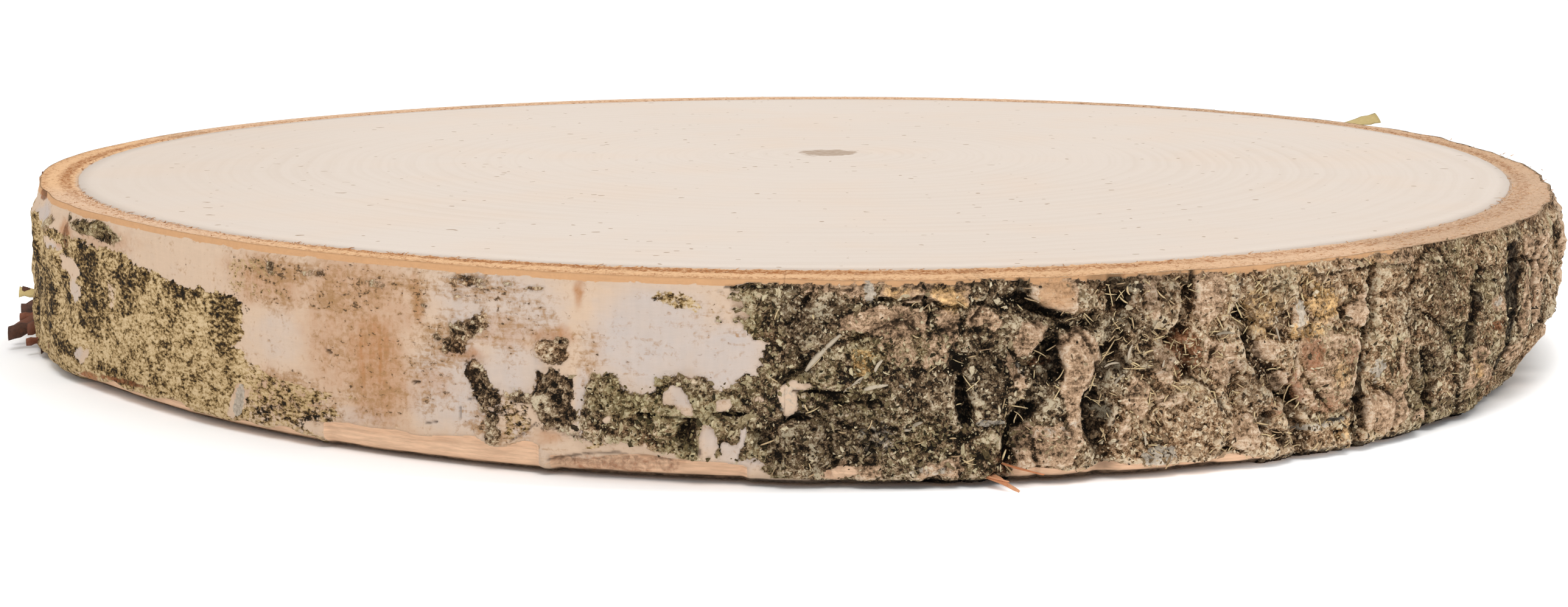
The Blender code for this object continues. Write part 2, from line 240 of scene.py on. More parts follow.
# Traced shapes: a strength, then the corners of an outline as (angle, height)
SCAB_SHAPES = (
    (1.0, ((-23.3, 8.6), (-23.3, 9.1), (-22.9, 9.5), (-22.8, 10.3), (-21.9, 10.7), (-21.1, 11.3),
        (-20.5, 11.5), (-20.8, 11.1), (-20.5, 10.8), (-20.7, 10.2), (-21.3, 9.9), (-21.6, 9.3),
        (-22.3, 8.7))),
    (1.0, ((-21.8, 7.8), (-21.3, 8.2), (-20.7, 8.0), (-20.3, 7.5), (-20.1, 6.6), (-19.6, 5.8),
        (-19.5, 5.1), (-19.9, 4.6), (-20.7, 4.2), (-21.0, 5.2), (-21.2, 6.2), (-21.9, 7.0))),
    (0.95, ((-20.3, 4.4), (-19.8, 4.4), (-19.5, 3.0), (-19.6, 2.0), (-20.2, 2.0), (-20.2, 3.2))),
    (1.0, ((-16.7, 9.5), (-16.0, 9.8), (-15.0, 10.1), (-14.8, 10.0), (-15.1, 9.2), (-15.2, 8.6),
        (-16.1, 8.5), (-16.7, 8.8))),
    (1.0, ((-16.9, 7.4), (-16.3, 7.1), (-15.8, 7.6), (-14.6, 7.2), (-14.7, 5.2), (-14.3, 4.4),
        (-14.9, 3.4), (-15.3, 3.3), (-15.5, 4.1), (-16.2, 3.6), (-17.0, 5.0), (-16.9, 6.2))),
    (0.8, ((-19.6, 5.4), (-19.3, 5.8), (-18.3, 5.6), (-17.0, 5.9), (-17.0, 5.3), (-18.4, 5.2))),
    (1.0, ((-66.0, 14.0), (-63.5, 13.9), (-60.0, 14.3), (-58.5, 13.9), (-56.6, 13.4), (-58.0, 13.1),
        (-60.6, 13.0), (-62.4, 13.4), (-64.6, 13.3))),
    (1.0, ((-13.7, 3.0), (-13.7, 5.0), (-13.5, 6.4), (-13.2, 7.7), (-12.4, 7.5), (-11.3, 6.9),
        (-10.8, 6.4), (-9.2, 6.5), (-8.9, 7.0), (-8.5, 7.5), (-7.2, 7.4), (-6.3, 7.5), (-5.6, 6.6),
        (-5.0, 6.9), (-3.6, 7.6), (-3.0, 2.4), (-4.4, 1.9), (-5.4, 1.9), (-6.6, 1.9), (-7.4, 1.8),
        (-8.1, 2.3), (-8.7, 1.9), (-9.3, 2.2), (-9.8, 2.8), (-11.0, 2.85), (-12.0, 2.95), (-13.0, 2.8))),
)
WINDOW_SHAPES = (
    (1.0, ((-19.0, 1.9), (-18.4, 2.5), (-17.6, 3.0), (-16.9, 3.9), (-16.6, 3.6), (-16.4, 2.8),
        (-16.7, 1.9))),
    (1.0, ((-16.4, 1.4), (-16.5, 3.0), (-15.9, 3.3), (-14.0, 3.0), (-13.3, 2.5), (-14.5, 1.9),
        (-15.4, 1.4))),
    (1.0, ((-8.7, 6.5), (-8.2, 6.9), (-7.7, 6.9), (-7.3, 6.2), (-6.9, 5.5), (-6.9, 4.9), (-7.4, 4.9),
        (-8.0, 5.6), (-8.6, 5.9))),
    (1.0, ((-5.4, 6.3), (-4.8, 6.2), (-4.6, 5.8), (-4.9, 5.3), (-5.5, 5.4))),
    (1.0, ((-6.5, 2.0), (-6.5, 4.4), (-5.6, 4.4), (-5.5, 1.9))),
    (1.0, ((-5.3, 2.0), (-5.1, 3.0), (-4.3, 2.9), (-4.1, 4.0), (-3.8, 4.1), (-3.7, 3.2), (-4.1, 2.5),
        (-4.5, 1.8))),
    (1.0, ((-1.9, 7.0), (-1.4, 7.4), (-0.8, 7.7), (0.0, 7.5), (0.9, 7.15), (-0.1, 7.05), (-0.8, 6.9),
        (-0.7, 6.0), (-0.9, 5.2), (-1.4, 4.9), (-1.6, 5.6))),
)
LICHEN_WINDOWS = (
    (1.0, ((-76.0, 13.9), (-73.0, 14.2), (-70.5, 14.1), (-70.0, 13.3), (-70.9, 12.6), (-73.0, 12.3),
        (-75.4, 12.7))),
    (0.9, ((-71.6, 11.6), (-69.8, 11.9), (-67.2, 11.4), (-67.6, 10.9), (-70.0, 10.9))),
    (1.0, ((-67.3, 10.6), (-65.6, 10.7), (-64.0, 10.3), (-63.4, 9.5), (-64.2, 8.9), (-65.8, 8.8),
        (-67.2, 9.4))),
    (0.8, ((-66.4, 8.4), (-65.0, 8.7), (-63.8, 8.3), (-64.2, 7.4), (-65.0, 6.6), (-65.6, 7.4))),
    (0.9, ((-65.4, 2.5), (-64.0, 3.3), (-63.0, 3.0), (-62.7, 2.3), (-63.8, 1.8), (-65.0, 2.0))),
    (1.0, ((-41.0, 9.1), (-40.5, 9.7), (-40.0, 9.9), (-38.6, 9.9), (-38.6, 5.2), (-40.3, 5.6),
        (-40.9, 6.8))),
    (1.0, ((-43.2, 1.0), (-42.8, 2.6), (-41.8, 3.6), (-40.7, 3.4), (-40.9, 2.4), (-42.0, 1.0))),
)
PLATE_SHAPES = (
    (0.9, ((3.0, 13.5), (3.0, 15.0), (3.8, 15.0), (3.8, 13.6))),
    (0.9, ((4.0, 13.7), (3.9, 15.0), (6.2, 15.0), (6.6, 14.2), (6.3, 13.5), (5.2, 13.6))),
    (1.0, ((6.6, 15.0), (8.9, 15.0), (9.3, 14.2), (9.0, 13.2), (7.6, 13.2), (6.8, 13.8))),
    (0.9, ((1.6, 12.2), (2.4, 12.6), (3.6, 13.2), (5.2, 13.3), (6.5, 12.9), (6.7, 11.9), (6.4, 11.2),
        (4.6, 11.0), (3.0, 11.2), (1.8, 11.5))),
    (1.0, ((7.2, 12.9), (8.5, 12.7), (8.6, 11.5), (8.0, 11.1), (7.3, 11.9))),
    (1.0, ((9.1, 12.9), (9.9, 13.0), (10.7, 12.5), (11.1, 11.6), (10.6, 11.2), (10.0, 11.8), (9.3, 11.6),
        (9.0, 12.1))),
    (1.0, ((11.7, 10.4), (11.8, 11.0), (12.4, 11.6), (13.3, 11.8), (13.9, 11.4), (13.9, 10.8),
        (13.4, 10.2), (13.2, 9.8), (12.7, 9.3), (12.1, 9.3), (11.7, 9.8))),
    (1.0, ((12.9, 15.4), (12.95, 14.0), (13.1, 13.4), (13.8, 12.9), (14.6, 12.6), (15.3, 12.3),
        (15.5, 12.7), (15.4, 13.6), (15.9, 14.4), (15.9, 15.4))),
    (1.0, ((11.4, 9.4), (11.8, 9.3), (12.1, 8.6), (12.5, 7.8), (12.5, 7.1), (12.1, 7.0), (11.8, 7.6),
        (11.4, 8.8))),
    (1.0, ((14.6, 10.8), (15.9, 11.2), (16.6, 10.4), (17.1, 9.5), (17.3, 8.6), (16.9, 8.0), (16.6, 7.0),
        (16.2, 6.2), (16.0, 5.2), (15.8, 4.0), (14.9, 4.6), (14.7, 6.0), (14.4, 6.6), (14.7, 7.6),
        (14.5, 9.8))),
    (0.75, ((11.9, 4.0), (12.9, 4.4), (14.6, 4.5), (15.6, 4.4), (15.9, 3.2), (15.2, 1.3), (12.3, 1.1),
        (11.9, 2.4))),
    (0.5, ((3.4, 11.2), (6.6, 11.4), (8.6, 11.2), (8.4, 9.4), (6.6, 8.6), (4.6, 9.0))),
    (0.9, ((29.9, 10.2), (30.0, 11.7), (30.7, 12.0), (31.3, 11.4), (31.2, 10.4), (30.6, 10.0))),
    (0.5, ((31.3, 12.2), (33.4, 12.2), (33.9, 10.6), (32.4, 9.9), (31.4, 10.2))),
    (0.95, ((18.1, 5.6), (18.6, 6.2), (19.1, 7.5), (19.7, 7.5), (20.0, 6.8), (20.0, 5.0), (19.6, 4.2),
        (18.9, 5.0))),
    (0.7, ((18.0, 2.6), (18.3, 4.5), (18.8, 4.6), (19.0, 3.2), (18.6, 2.4))),
    (0.95, ((22.9, 15.0), (24.6, 15.0), (24.9, 13.6), (24.6, 12.2), (24.2, 11.4), (23.4, 10.9),
        (22.9, 11.8), (23.1, 13.2))),
    (0.7, ((19.0, 15.0), (19.6, 13.9), (19.8, 12.4), (20.3, 11.5), (20.7, 12.4), (20.4, 14.0),
        (21.6, 15.0))),
    (0.6, ((20.2, 9.6), (21.0, 9.4), (21.6, 8.2), (21.6, 6.6), (21.0, 6.4), (20.4, 7.4))),
    (0.6, ((20.6, 5.9), (22.6, 6.2), (22.9, 5.4), (22.2, 5.0), (20.6, 5.1))),
    (0.85, ((27.1, 9.4), (27.6, 9.8), (28.3, 9.4), (28.6, 8.6), (28.2, 8.1), (27.6, 7.9), (27.1, 8.5))),
    (0.9, ((28.2, 6.6), (28.8, 7.2), (29.4, 6.9), (29.7, 6.2), (29.6, 5.4), (29.1, 5.2), (28.7, 5.8))),
    (0.7, ((25.2, 3.4), (26.6, 4.2), (27.4, 3.6), (27.4, 1.4), (26.2, 1.2), (25.4, 1.7))),
    (0.65, ((23.6, 9.8), (25.6, 9.4), (26.0, 7.6), (25.0, 6.2), (23.6, 7.6))),
    (0.62, ((29.8, 9.6), (31.2, 9.4), (32.8, 9.6), (34.9, 9.0), (35.2, 8.0), (34.9, 6.2), (34.9, 4.4),
        (34.0, 3.4), (32.8, 3.0), (31.6, 3.6), (31.2, 4.4), (30.2, 5.0), (29.9, 6.6))),
    (1.0, ((33.9, 10.2), (34.0, 11.1), (34.8, 11.6), (36.1, 12.3), (36.3, 11.2), (35.8, 10.5),
        (36.6, 10.2), (35.6, 9.6), (34.4, 9.9))),
    (1.0, ((36.2, 3.9), (38.0, 4.2), (39.9, 4.5), (40.1, 3.2), (40.6, 2.3), (40.2, 1.8), (39.0, 1.3),
        (37.5, 1.2), (36.2, 1.6), (36.0, 2.8))),
    (0.8, ((39.3, 7.0), (39.6, 8.2), (39.95, 8.0), (39.9, 5.2), (39.6, 4.6), (39.2, 6.0))),
    (0.9, ((40.8, 1.3), (41.2, 2.1), (42.6, 2.1), (42.8, 1.3))),
    (0.75, ((37.1, 15.0), (40.2, 15.0), (40.4, 14.0), (38.6, 13.8), (37.1, 14.1))),
    (0.6, ((33.8, 15.0), (36.8, 15.0), (36.9, 14.1), (34.2, 14.1))),
    (0.9, ((49.7, 9.8), (50.8, 9.8), (52.0, 9.2), (52.6, 8.6), (51.8, 8.3), (50.4, 8.5), (49.8, 9.2))),
    (0.9, ((47.6, 5.8), (48.6, 6.1), (49.5, 5.4), (49.3, 3.6), (48.4, 2.6), (47.3, 2.6), (47.4, 4.4))),
    (0.8, ((49.2, 4.2), (50.3, 4.2), (52.4, 3.6), (52.8, 2.6), (50.0, 2.4), (49.4, 3.0))),
    (0.85, ((55.9, 13.8), (57.4, 13.2), (57.6, 10.0), (57.2, 7.0), (57.0, 5.2), (56.0, 6.2), (56.0, 10.0))),
    (0.85, ((58.2, 13.4), (60.8, 13.6), (61.4, 9.6), (61.0, 6.0), (59.2, 5.6), (58.4, 9.4))),
    (0.8, ((54.8, 4.6), (57.0, 5.2), (58.8, 4.0), (58.6, 2.4), (57.0, 2.1), (56.6, 2.9), (55.2, 3.6))),
    (0.8, ((1.1, 0.5), (1.2, 1.3), (2.0, 1.9), (2.7, 1.4), (4.0, 1.6), (4.2, 0.5))),
    (0.8, ((6.2, 0.6), (6.8, 1.6), (8.6, 2.1), (8.9, 1.2), (8.6, 0.6))),
    (0.8, ((-0.6, 14.3), (0.4, 14.1), (1.4, 14.2), (2.8, 13.9), (3.1, 15.0), (-0.8, 15.0))),
)
# Slots: deep cracks, cut only shallow and painted near black as shade
SLOT_SHAPES = (
    (1.0, ((52.5, 13.1), (53.2, 13.8), (54.2, 13.5), (55.2, 12.7), (55.6, 10.6), (55.6, 8.6), (55.4, 6.6),
        (55.2, 5.4), (55.0, 4.2), (54.8, 2.6), (53.7, 2.4), (53.4, 4.0), (53.0, 5.6), (53.1, 6.8),
        (53.3, 8.4), (53.0, 9.6), (52.5, 11.0))),
    (0.95, ((47.0, 6.1), (47.6, 6.3), (48.0, 7.8), (48.2, 8.9), (48.9, 9.2), (48.7, 10.2), (48.1, 10.7),
        (47.5, 10.2), (47.8, 9.3), (47.3, 8.8), (46.9, 7.6))),
    (0.8, ((47.3, 11.0), (47.9, 11.4), (48.6, 12.1), (48.8, 12.0), (48.0, 10.9))),
    (0.8, ((43.0, 2.6), (43.4, 3.8), (43.9, 3.6), (43.8, 2.7), (43.3, 2.3))),
    (1.0, ((22.9, 15.2), (23.1, 14.6), (22.9, 14.1), (23.0, 13.5), (22.9, 13.0), (22.5, 12.9),
        (22.3, 13.5), (22.6, 14.2), (22.7, 15.2))),
    (0.6, ((22.4, 12.8), (22.3, 11.6), (22.7, 10.6), (21.9, 10.8), (21.9, 11.8))),
    (0.95, ((8.6, 8.2), (9.0, 8.0), (9.2, 6.5), (9.5, 5.6), (9.2, 4.4), (8.6, 4.3), (8.3, 5.6),
        (8.5, 6.6))),
    (0.9, ((12.0, 15.3), (12.6, 14.8), (12.9, 14.2), (12.7, 13.6), (13.1, 13.3), (13.8, 12.9),
        (14.8, 12.4), (15.4, 12.2), (15.0, 11.9), (14.0, 12.0), (13.3, 12.1), (12.6, 12.6), (12.1, 13.2),
        (11.9, 14.2))),
    (1.0, ((13.0, 9.5), (13.4, 10.2), (14.2, 10.4), (14.6, 10.2), (14.5, 9.2), (14.8, 8.6), (14.6, 7.6),
        (14.0, 7.3), (13.9, 8.2), (13.4, 8.9))),
    (1.0, ((11.7, 5.8), (12.4, 6.0), (13.1, 6.0), (13.2, 5.4), (12.7, 4.9), (12.4, 4.3), (11.8, 3.9),
        (11.7, 3.0), (11.9, 2.2), (11.5, 1.4), (11.1, 2.6), (11.4, 3.8), (11.6, 4.8))),
    (0.85, ((17.2, 9.7), (17.9, 10.0), (18.6, 10.4), (18.5, 9.6), (18.8, 8.3), (18.3, 7.6), (17.8, 8.0),
        (17.4, 7.6))),
    (1.0, ((18.1, 13.3), (18.4, 14.0), (18.9, 13.6), (18.8, 12.6), (18.3, 12.3))),
    (0.8, ((19.0, 11.9), (19.5, 11.6), (19.4, 10.7), (20.0, 10.4), (19.6, 10.2), (19.0, 10.6))),
    (0.8, ((17.4, 15.2), (18.4, 15.0), (19.1, 14.0), (18.1, 13.8), (17.9, 12.2), (17.6, 12.2),
        (17.5, 13.8))),
    (0.9, ((16.1, 6.5), (16.9, 6.9), (17.3, 5.8), (17.8, 5.4), (17.6, 4.6), (17.3, 3.4), (17.4, 2.6),
        (16.9, 2.2), (16.3, 3.0), (16.1, 4.2), (15.8, 5.6))),
    (1.0, ((26.2, 10.3), (26.9, 10.3), (26.9, 9.6), (26.6, 9.2), (27.0, 8.6), (26.7, 8.1), (26.3, 8.4),
        (26.1, 9.4))),
    (0.9, ((22.3, 7.6), (22.9, 7.6), (23.1, 6.9), (22.3, 7.0))),
    (0.85, ((27.5, 3.9), (28.5, 4.0), (28.2, 3.2), (27.7, 2.4), (27.4, 2.8))),
    (0.85, ((28.5, 2.6), (29.3, 2.3), (29.9, 1.3), (28.7, 1.2))),
    (0.9, ((36.3, 13.9), (36.6, 12.6), (36.4, 11.4), (36.8, 10.6), (37.1, 10.0), (36.6, 9.2), (36.3, 8.4),
        (36.1, 7.5), (35.7, 8.2), (36.0, 9.0), (36.5, 10.0), (36.2, 11.2), (36.2, 12.8))),
    (0.95, ((35.3, 6.6), (36.1, 6.9), (36.3, 6.2), (36.0, 5.6), (36.1, 4.6), (36.3, 4.0), (36.0, 3.6),
        (36.1, 1.6), (35.6, 1.6), (35.5, 3.2), (35.7, 4.2), (35.4, 5.6))),
    (0.9, ((33.7, 11.1), (33.95, 10.8), (33.85, 10.2), (34.05, 9.7), (33.75, 9.7), (33.6, 10.4))),
    (0.7, ((3.0, 4.6), (3.9, 4.1), (3.4, 3.4), (2.6, 3.8))),
    (0.75, ((-7.9, 2.3), (-7.8, 4.3), (-6.7, 4.8), (-6.6, 2.2))),
    (0.7, ((-3.6, 4.1), (-2.4, 4.2), (-2.3, 3.0), (-3.2, 2.7))),
    (0.7, ((-2.0, 8.0), (-0.2, 8.9), (0.2, 8.4), (-1.6, 7.5))),
)
DARK_ZONES = (
    (0.34, ((-2.6, 4.2), (-1.0, 4.8), (0.3, 6.6), (3.0, 6.7), (4.4, 6.0), (4.8, 4.2), (3.8, 2.2),
        (1.0, 1.0), (-2.5, 1.0))),
    (0.28, ((-2.0, 13.6), (2.0, 13.4), (1.6, 12.0), (0.2, 10.4), (-1.4, 9.4), (-2.2, 11.0))),
    (0.30, ((7.4, 8.0), (9.6, 11.0), (13.0, 9.0), (11.4, 7.4), (10.4, 4.6), (9.6, 6.4))),
    (0.42, ((16.4, 15.0), (22.4, 15.0), (22.2, 12.6), (19.0, 11.8), (17.8, 8.0), (16.9, 5.0), (16.8, 2.0),
        (18.0, 2.2), (17.6, 6.0), (18.6, 9.0), (17.2, 11.4))),
    (0.38, ((40.4, 6.2), (42.0, 6.0), (43.6, 5.4), (44.0, 2.2), (40.8, 2.0))),
    (0.34, ((19.2, 10.8), (21.8, 10.8), (22.2, 8.2), (20.6, 7.4), (19.2, 8.4))),
    (0.30, ((25.4, 14.2), (29.4, 14.2), (29.6, 10.2), (27.4, 9.6), (25.6, 10.4))),
    (0.28, ((24.4, 7.0), (26.0, 8.0), (28.4, 5.4), (27.0, 3.8), (25.0, 5.4))),
    (0.28, ((41.0, 13.0), (44.6, 13.2), (45.0, 10.0), (43.0, 8.0), (41.0, 9.0))),
)

# Thin cracks, painted dark as shade: half width, strength and route
CRACKS = (
    (0.11, 0.9, ((4.0, 13.7), (5.4, 13.6), (6.6, 13.9), (7.4, 13.3), (8.9, 12.9), (9.4, 13.4))),
    (0.09, 0.8, ((9.4, 13.4), (10.2, 13.2), (11.2, 12.8))), (0.08, 1.0, ((-1.0, 7.0), (0.6, 6.9),
        (2.2, 6.85))),
    (0.13, 0.9, ((-5.8, 5.15), (-3.8, 5.15))), (0.08, 1.0, ((-10.2, 5.0), (-8.2, 4.95), (-6.8, 4.6))),
    (0.1, 0.8, ((-1.5, 4.9), (0.1, 4.9))), (0.10, 0.9, ((-5.0, 14.45), (-2.6, 14.4), (-0.4, 14.3))),
    (0.16, 0.95, ((28.9, 5.2), (29.6, 5.0), (30.3, 4.5), (31.3, 3.6), (31.6, 2.8), (33.6, 2.6),
        (34.6, 3.2))),
    (0.12, 0.8, ((29.7, 4.4), (30.3, 2.8), (30.5, 1.8))), (0.12, 0.8, ((29.9, 8.6), (29.8, 7.0),
        (29.7, 5.4))),
    (0.12, 0.8, ((31.4, 13.9), (34.0, 13.9), (36.8, 14.0), (39.6, 13.8))),
    (0.10, 0.8, ((34.1, 11.2), (34.5, 11.8), (34.7, 12.7))), (0.09, 0.8, ((31.0, 11.4), (31.4, 10.4),
        (31.4, 9.8))),
    (0.09, 0.8, ((39.8, 11.8), (40.2, 10.6), (39.9, 9.6), (40.3, 8.6), (40.5, 7.4))),
    (0.10, 0.8, ((22.9, 7.0), (23.9, 6.4), (24.4, 5.4), (25.2, 4.0))), (0.1, 0.8, ((24.9, 1.7),
        (26.4, 1.2))),
    (0.10, 0.7, ((20.1, 4.4), (20.6, 5.4), (21.6, 5.9))), (0.08, 0.8, ((6.7, 11.9), (6.9, 12.9))),
    (0.10, 0.9, ((8.8, 11.2), (8.8, 12.3))), (0.09, 0.8, ((40.2, 4.6), (40.3, 3.2), (40.7, 2.4))),
    (0.12, 0.8, ((57.9, 13.0), (57.8, 10.2), (58.2, 8.0), (57.8, 5.4))),
    (0.10, 0.6, ((60.9, 13.6), (61.5, 10.0), (61.1, 6.2))), (0.10, 0.6, ((56.6, 12.0), (56.9, 9.0),
        (56.6, 6.4))),
    (0.06, 0.8, ((-25.9, 5.9), (-25.4, 5.95))), (0.07, 0.9, ((-24.9, 2.9), (-24.2, 3.0))),
    (0.05, 0.4, ((-22.4, 4.3), (-22.3, 3.1))), (0.06, 0.9, ((-33.2, 2.1), (-32.8, 2.1))),
    (0.07, 0.8, ((-33.2, 7.6), (-32.8, 7.4))), (0.06, 0.6, ((-16.2, 1.0), (-15.2, 1.3), (-13.6, 1.75),
    (-11.8, 1.95), (-9.6, 1.7), (-7.6, 1.45))),
    (0.07, 0.6, ((-21.8, 5.0), (-21.0, 5.3))), (0.05, 0.6, ((-23.2, 14.2), (-20.4, 14.3))),
    (0.06, 0.5, ((-18.9, 2.1), (-17.9, 2.8), (-16.9, 3.8))), (0.06, 0.5, ((-15.2, 3.1), (-13.9, 3.05),
        (-13.2, 2.75))),
)

# Patches: angle, height, half width, half height, tilt in degrees, strength
LICHEN_PATCHES = (
    (-18.5, 4.0, 1.5, 1.6, 20, 0.5), (-39.0, 13.4, 2.4, 0.9, 0, 0.42), (-7.8, 13.3, 2.1, 0.7, -10, 0.6),
    (-38.5, 11.4, 3.2, 0.6, 0, 0.36), (-13.6, 2.6, 2.0, 0.5, 8, 0.5), (-41.5, 12.3, 1.2, 1.9, 0, 0.40),
)
LICHEN_BARE = ((-58.5, 8.6, 0.8, 1.3, 10, 0.5),)
OLIVE_PATCHES = (
    (-62.4, 10.6, 2.4, 1.9, 8, 1.0), (-61.8, 7.4, 2.5, 2.8, 0, 0.85), (-62.0, 5.3, 2.0, 0.7, -8, 0.8),
    (-55.0, 10.6, 3.2, 1.2, 6, 0.9), (-56.0, 8.2, 1.4, 1.3, 0, 0.6), (-48.2, 10.5, 3.4, 0.8, 6, 0.8),
    (-42.8, 9.8, 3.0, 1.1, 6, 1.0), (-42.9, 7.9, 2.3, 2.0, 0, 0.85), (-58.5, 1.8, 4.4, 0.6, -4, 0.75),
    (-52.0, 2.2, 1.4, 0.6, 0, 0.5), (-34.8, 2.1, 1.3, 0.7, 8, 1.0), (-39.6, 1.6, 1.2, 0.9, 0, 0.6),
    (-72.0, 6.0, 3.4, 3.8, 0, 0.75), (-78.0, 7.0, 3.6, 5.0, 0, 0.9), (-20.0, 4.9, 1.2, 0.3, 0, 0.9),
    (-37.5, 2.8, 3.8, 1.5, 0, 0.5), (-18.3, 4.4, 1.7, 1.4, 20, 0.85), (-7.8, 13.3, 2.0, 0.7, 0, 0.3),
    (-66.5, 2.6, 3.2, 0.8, -6, 1.0), (-66.5, 9.6, 1.2, 3.0, 0, 0.6), (-50.0, 7.6, 3.0, 2.0, 0, 0.25),
)
CRUST_PATCHES = (
    (-70.2, 12.9, 1.2, 0.7, 12, 0.62), (-38.1, 13.5, 0.55, 0.6, 0, 0.6),
    (-34.0, 13.4, 1.0, 0.35, 0, 0.55), (-28.6, 13.1, 1.1, 0.3, 0, 0.5), (-15.0, 3.4, 2.4, 0.5, -6, 0.5),
    (-21.4, 13.9, 2.0, 0.4, 0, 0.62), (-18.8, 13.95, 0.5, 0.16, 0, 0.7),
    (-16.9, 13.75, 0.6, 0.18, 0, 0.7), (-22.4, 12.75, 0.4, 0.2, 0, 0.7), (-21.0, 12.4, 0.3, 0.15, 0, 0.6),
    (-25.0, 11.8, 0.4, 0.2, 0, 0.6), (-24.1, 9.5, 0.4, 0.3, 0, 0.6),
)
CRUST_BARE = ((-12.2, 4.4, 0.5, 0.35, 10, 0.7), (-3.0, 6.3, 0.4, 0.3, 0, 0.6))
CLEAN_PATCHES = (
    (-9.6, 10.6, 4.6, 3.9, 0, 1.0), (-5.0, 9.2, 3.0, 2.4, 0, 1.0), (-13.8, 6.0, 0.6, 2.4, 0, 0.8),
    (-24.0, 4.4, 3.0, 1.8, 0, 0.55), (-19.0, 8.3, 1.7, 1.6, 0, 0.6), (-20.0, 11.9, 2.6, 1.1, 0, 0.45),
    (-73.2, 13.2, 3.4, 1.2, 8, 1.0), (-68.6, 11.0, 2.0, 0.4, 0, 0.8), (-64.6, 2.6, 1.2, 0.6, 15, 0.8),
    (-65.0, 7.6, 1.4, 1.1, 0, 0.6), (-7.6, 6.5, 1.0, 0.8, -10, 0.7), (-4.9, 3.6, 1.9, 1.3, 0, 0.7),
    (-30.6, 2.8, 3.4, 0.7, 0, 0.5), (-18.0, 3.0, 1.0, 0.7, 30, 0.6), (-37.4, 8.0, 3.0, 1.8, 0, 0.35),
    (-19.5, 12.0, 5.5, 2.8, 0, 0.75), (-22.5, 6.0, 4.0, 3.6, 0, 0.8), (-18.5, 7.6, 2.4, 2.2, 0, 0.8),
    (-3.5, 3.0, 2.6, 2.0, 0, 0.8),
)
STAIN_PATCHES = (
    (-29.2, 7.6, 3.0, 4.0, 0, 1.0), (-28.6, 5.0, 3.0, 2.8, 0, 0.8), (-32.0, 8.6, 3.6, 4.6, 0, 0.62),
    (-30.6, 12.2, 5.4, 2.6, 0, 0.7), (-38.4, 12.4, 4.8, 1.9, 0, 0.72), (-27.2, 11.0, 1.8, 2.6, 0, 0.5),
    (-25.6, 12.4, 0.6, 1.9, 6, 1.0), (-14.0, 13.6, 0.35, 1.0, 0, 1.0), (-38.5, 3.6, 5.0, 1.6, 0, 0.5),
    (-22.0, 8.4, 1.6, 0.5, 0, 0.9), (-15.9, 10.4, 1.8, 0.6, 0, 0.85), (-22.8, 8.5, 1.6, 0.5, 0, 0.75),
    (-24.3, 6.0, 1.6, 1.1, 0, 0.5), (-27.4, 1.9, 3.6, 0.6, 0, 0.3), (-16.2, 2.7, 1.2, 0.6, 0, 0.7),
    (-19.0, 10.4, 2.6, 1.0, 0, 0.4), (-66.5, 12.4, 1.5, 1.2, 10, 1.0), (-60.0, 13.0, 6.0, 0.9, 3, 0.4),
    (-12.9, 9.5, 0.6, 1.3, 0, 0.12),
)
GRIME_PATCHES = (
    (-37.6, 13.2, 4.4, 1.2, 0, 1.0), (-38.4, 11.2, 3.6, 1.0, 0, 0.75), (-32.0, 11.6, 3.6, 1.3, 0, 0.9),
    (-28.0, 13.2, 2.4, 0.8, 0, 0.8), (-33.0, 13.6, 2.4, 0.8, 0, 0.7), (-35.4, 3.2, 4.6, 1.5, 0, 0.9),
    (-25.4, 12.4, 1.0, 1.9, 0, 1.0), (-21.0, 13.4, 3.4, 1.2, 0, 1.0), (-30.0, 7.6, 5.0, 3.4, 0, 0.55),
    (-23.6, 9.0, 2.6, 2.2, 0, 0.9), (-24.6, 6.4, 2.6, 2.4, 0, 0.6), (-18.6, 11.0, 3.4, 2.6, 0, 0.7),
    (-29.0, 4.2, 4.2, 1.6, 0, 0.6), (-19.6, 3.4, 2.6, 1.7, 0, 0.9), (-9.0, 9.0, 5.4, 5.0, 0, 0.04),
    (-36.4, 4.6, 4.0, 0.8, 0, 0.8), (-13.6, 9.4, 1.6, 2.4, 0, 0.5), (-30.0, 12.8, 5.0, 1.4, 0, 0.8),
)

# How torn the sawn inner bark is, by angle, and the bare band of bark below its top
TORN_SHARE = ((-120, 0.45), (-100, 0.8), (-82, 0.8), (-70, 0.36), (-52, 0.36), (-30, 0.8), (-10, 0.95),
              (10, 0.78), (30, 0.5), (60, 0.36), (76, 0.38), (92, 0.52), (110, 0.52), (130, 0.45))
TOP_BAND_FROM, TOP_BAND_TO = -95.0, 37.0
TOP_BAND_HEIGHT = 0.55

# Shreds at the rim: angle, height, width, reach past the rim, rise, run along it, thickness, tip share
BARK_SHREDS = (
    (-91.4, 14.1, 1.6, 1.8, 0.3, -0.6, 0.6, 0.30),
    (-85.6, 3.0, 2.2, 2.7, 0.3, 0.5, 1.5, 0.60),
    (-84.4, 2.9, 2.4, 3.2, -0.2, -1.2, 1.8, 0.65),
    (-83.0, 2.6, 2.6, 3.9, -0.6, 0.6, 2.0, 0.60),
    (-81.6, 2.1, 2.4, 3.6, -0.5, 1.5, 1.9, 0.65),
    (-79.6, 1.6, 2.2, 2.4, -0.4, 1.6, 1.6, 0.55),
    (-77.6, 1.3, 1.8, 1.7, 0.2, 1.2, 1.3, 0.55),
    (152.0, 3.0, 2.0, 1.6, -0.5, 1.0, 0.9, 0.45),
    (203.0, 12.8, 2.2, 1.5, -0.4, -0.9, 0.9, 0.40),
    (-73.6, 0.9, 2.0, 1.0, -0.1, 1.2, 0.8, 0.50),
    (-71.2, 0.8, 1.7, 0.8, 0.1, 1.0, 0.7, 0.50),
    (-101.0, 14.4, 1.5, 2.4, 0.6, 0.6, 0.6, 0.40),
)
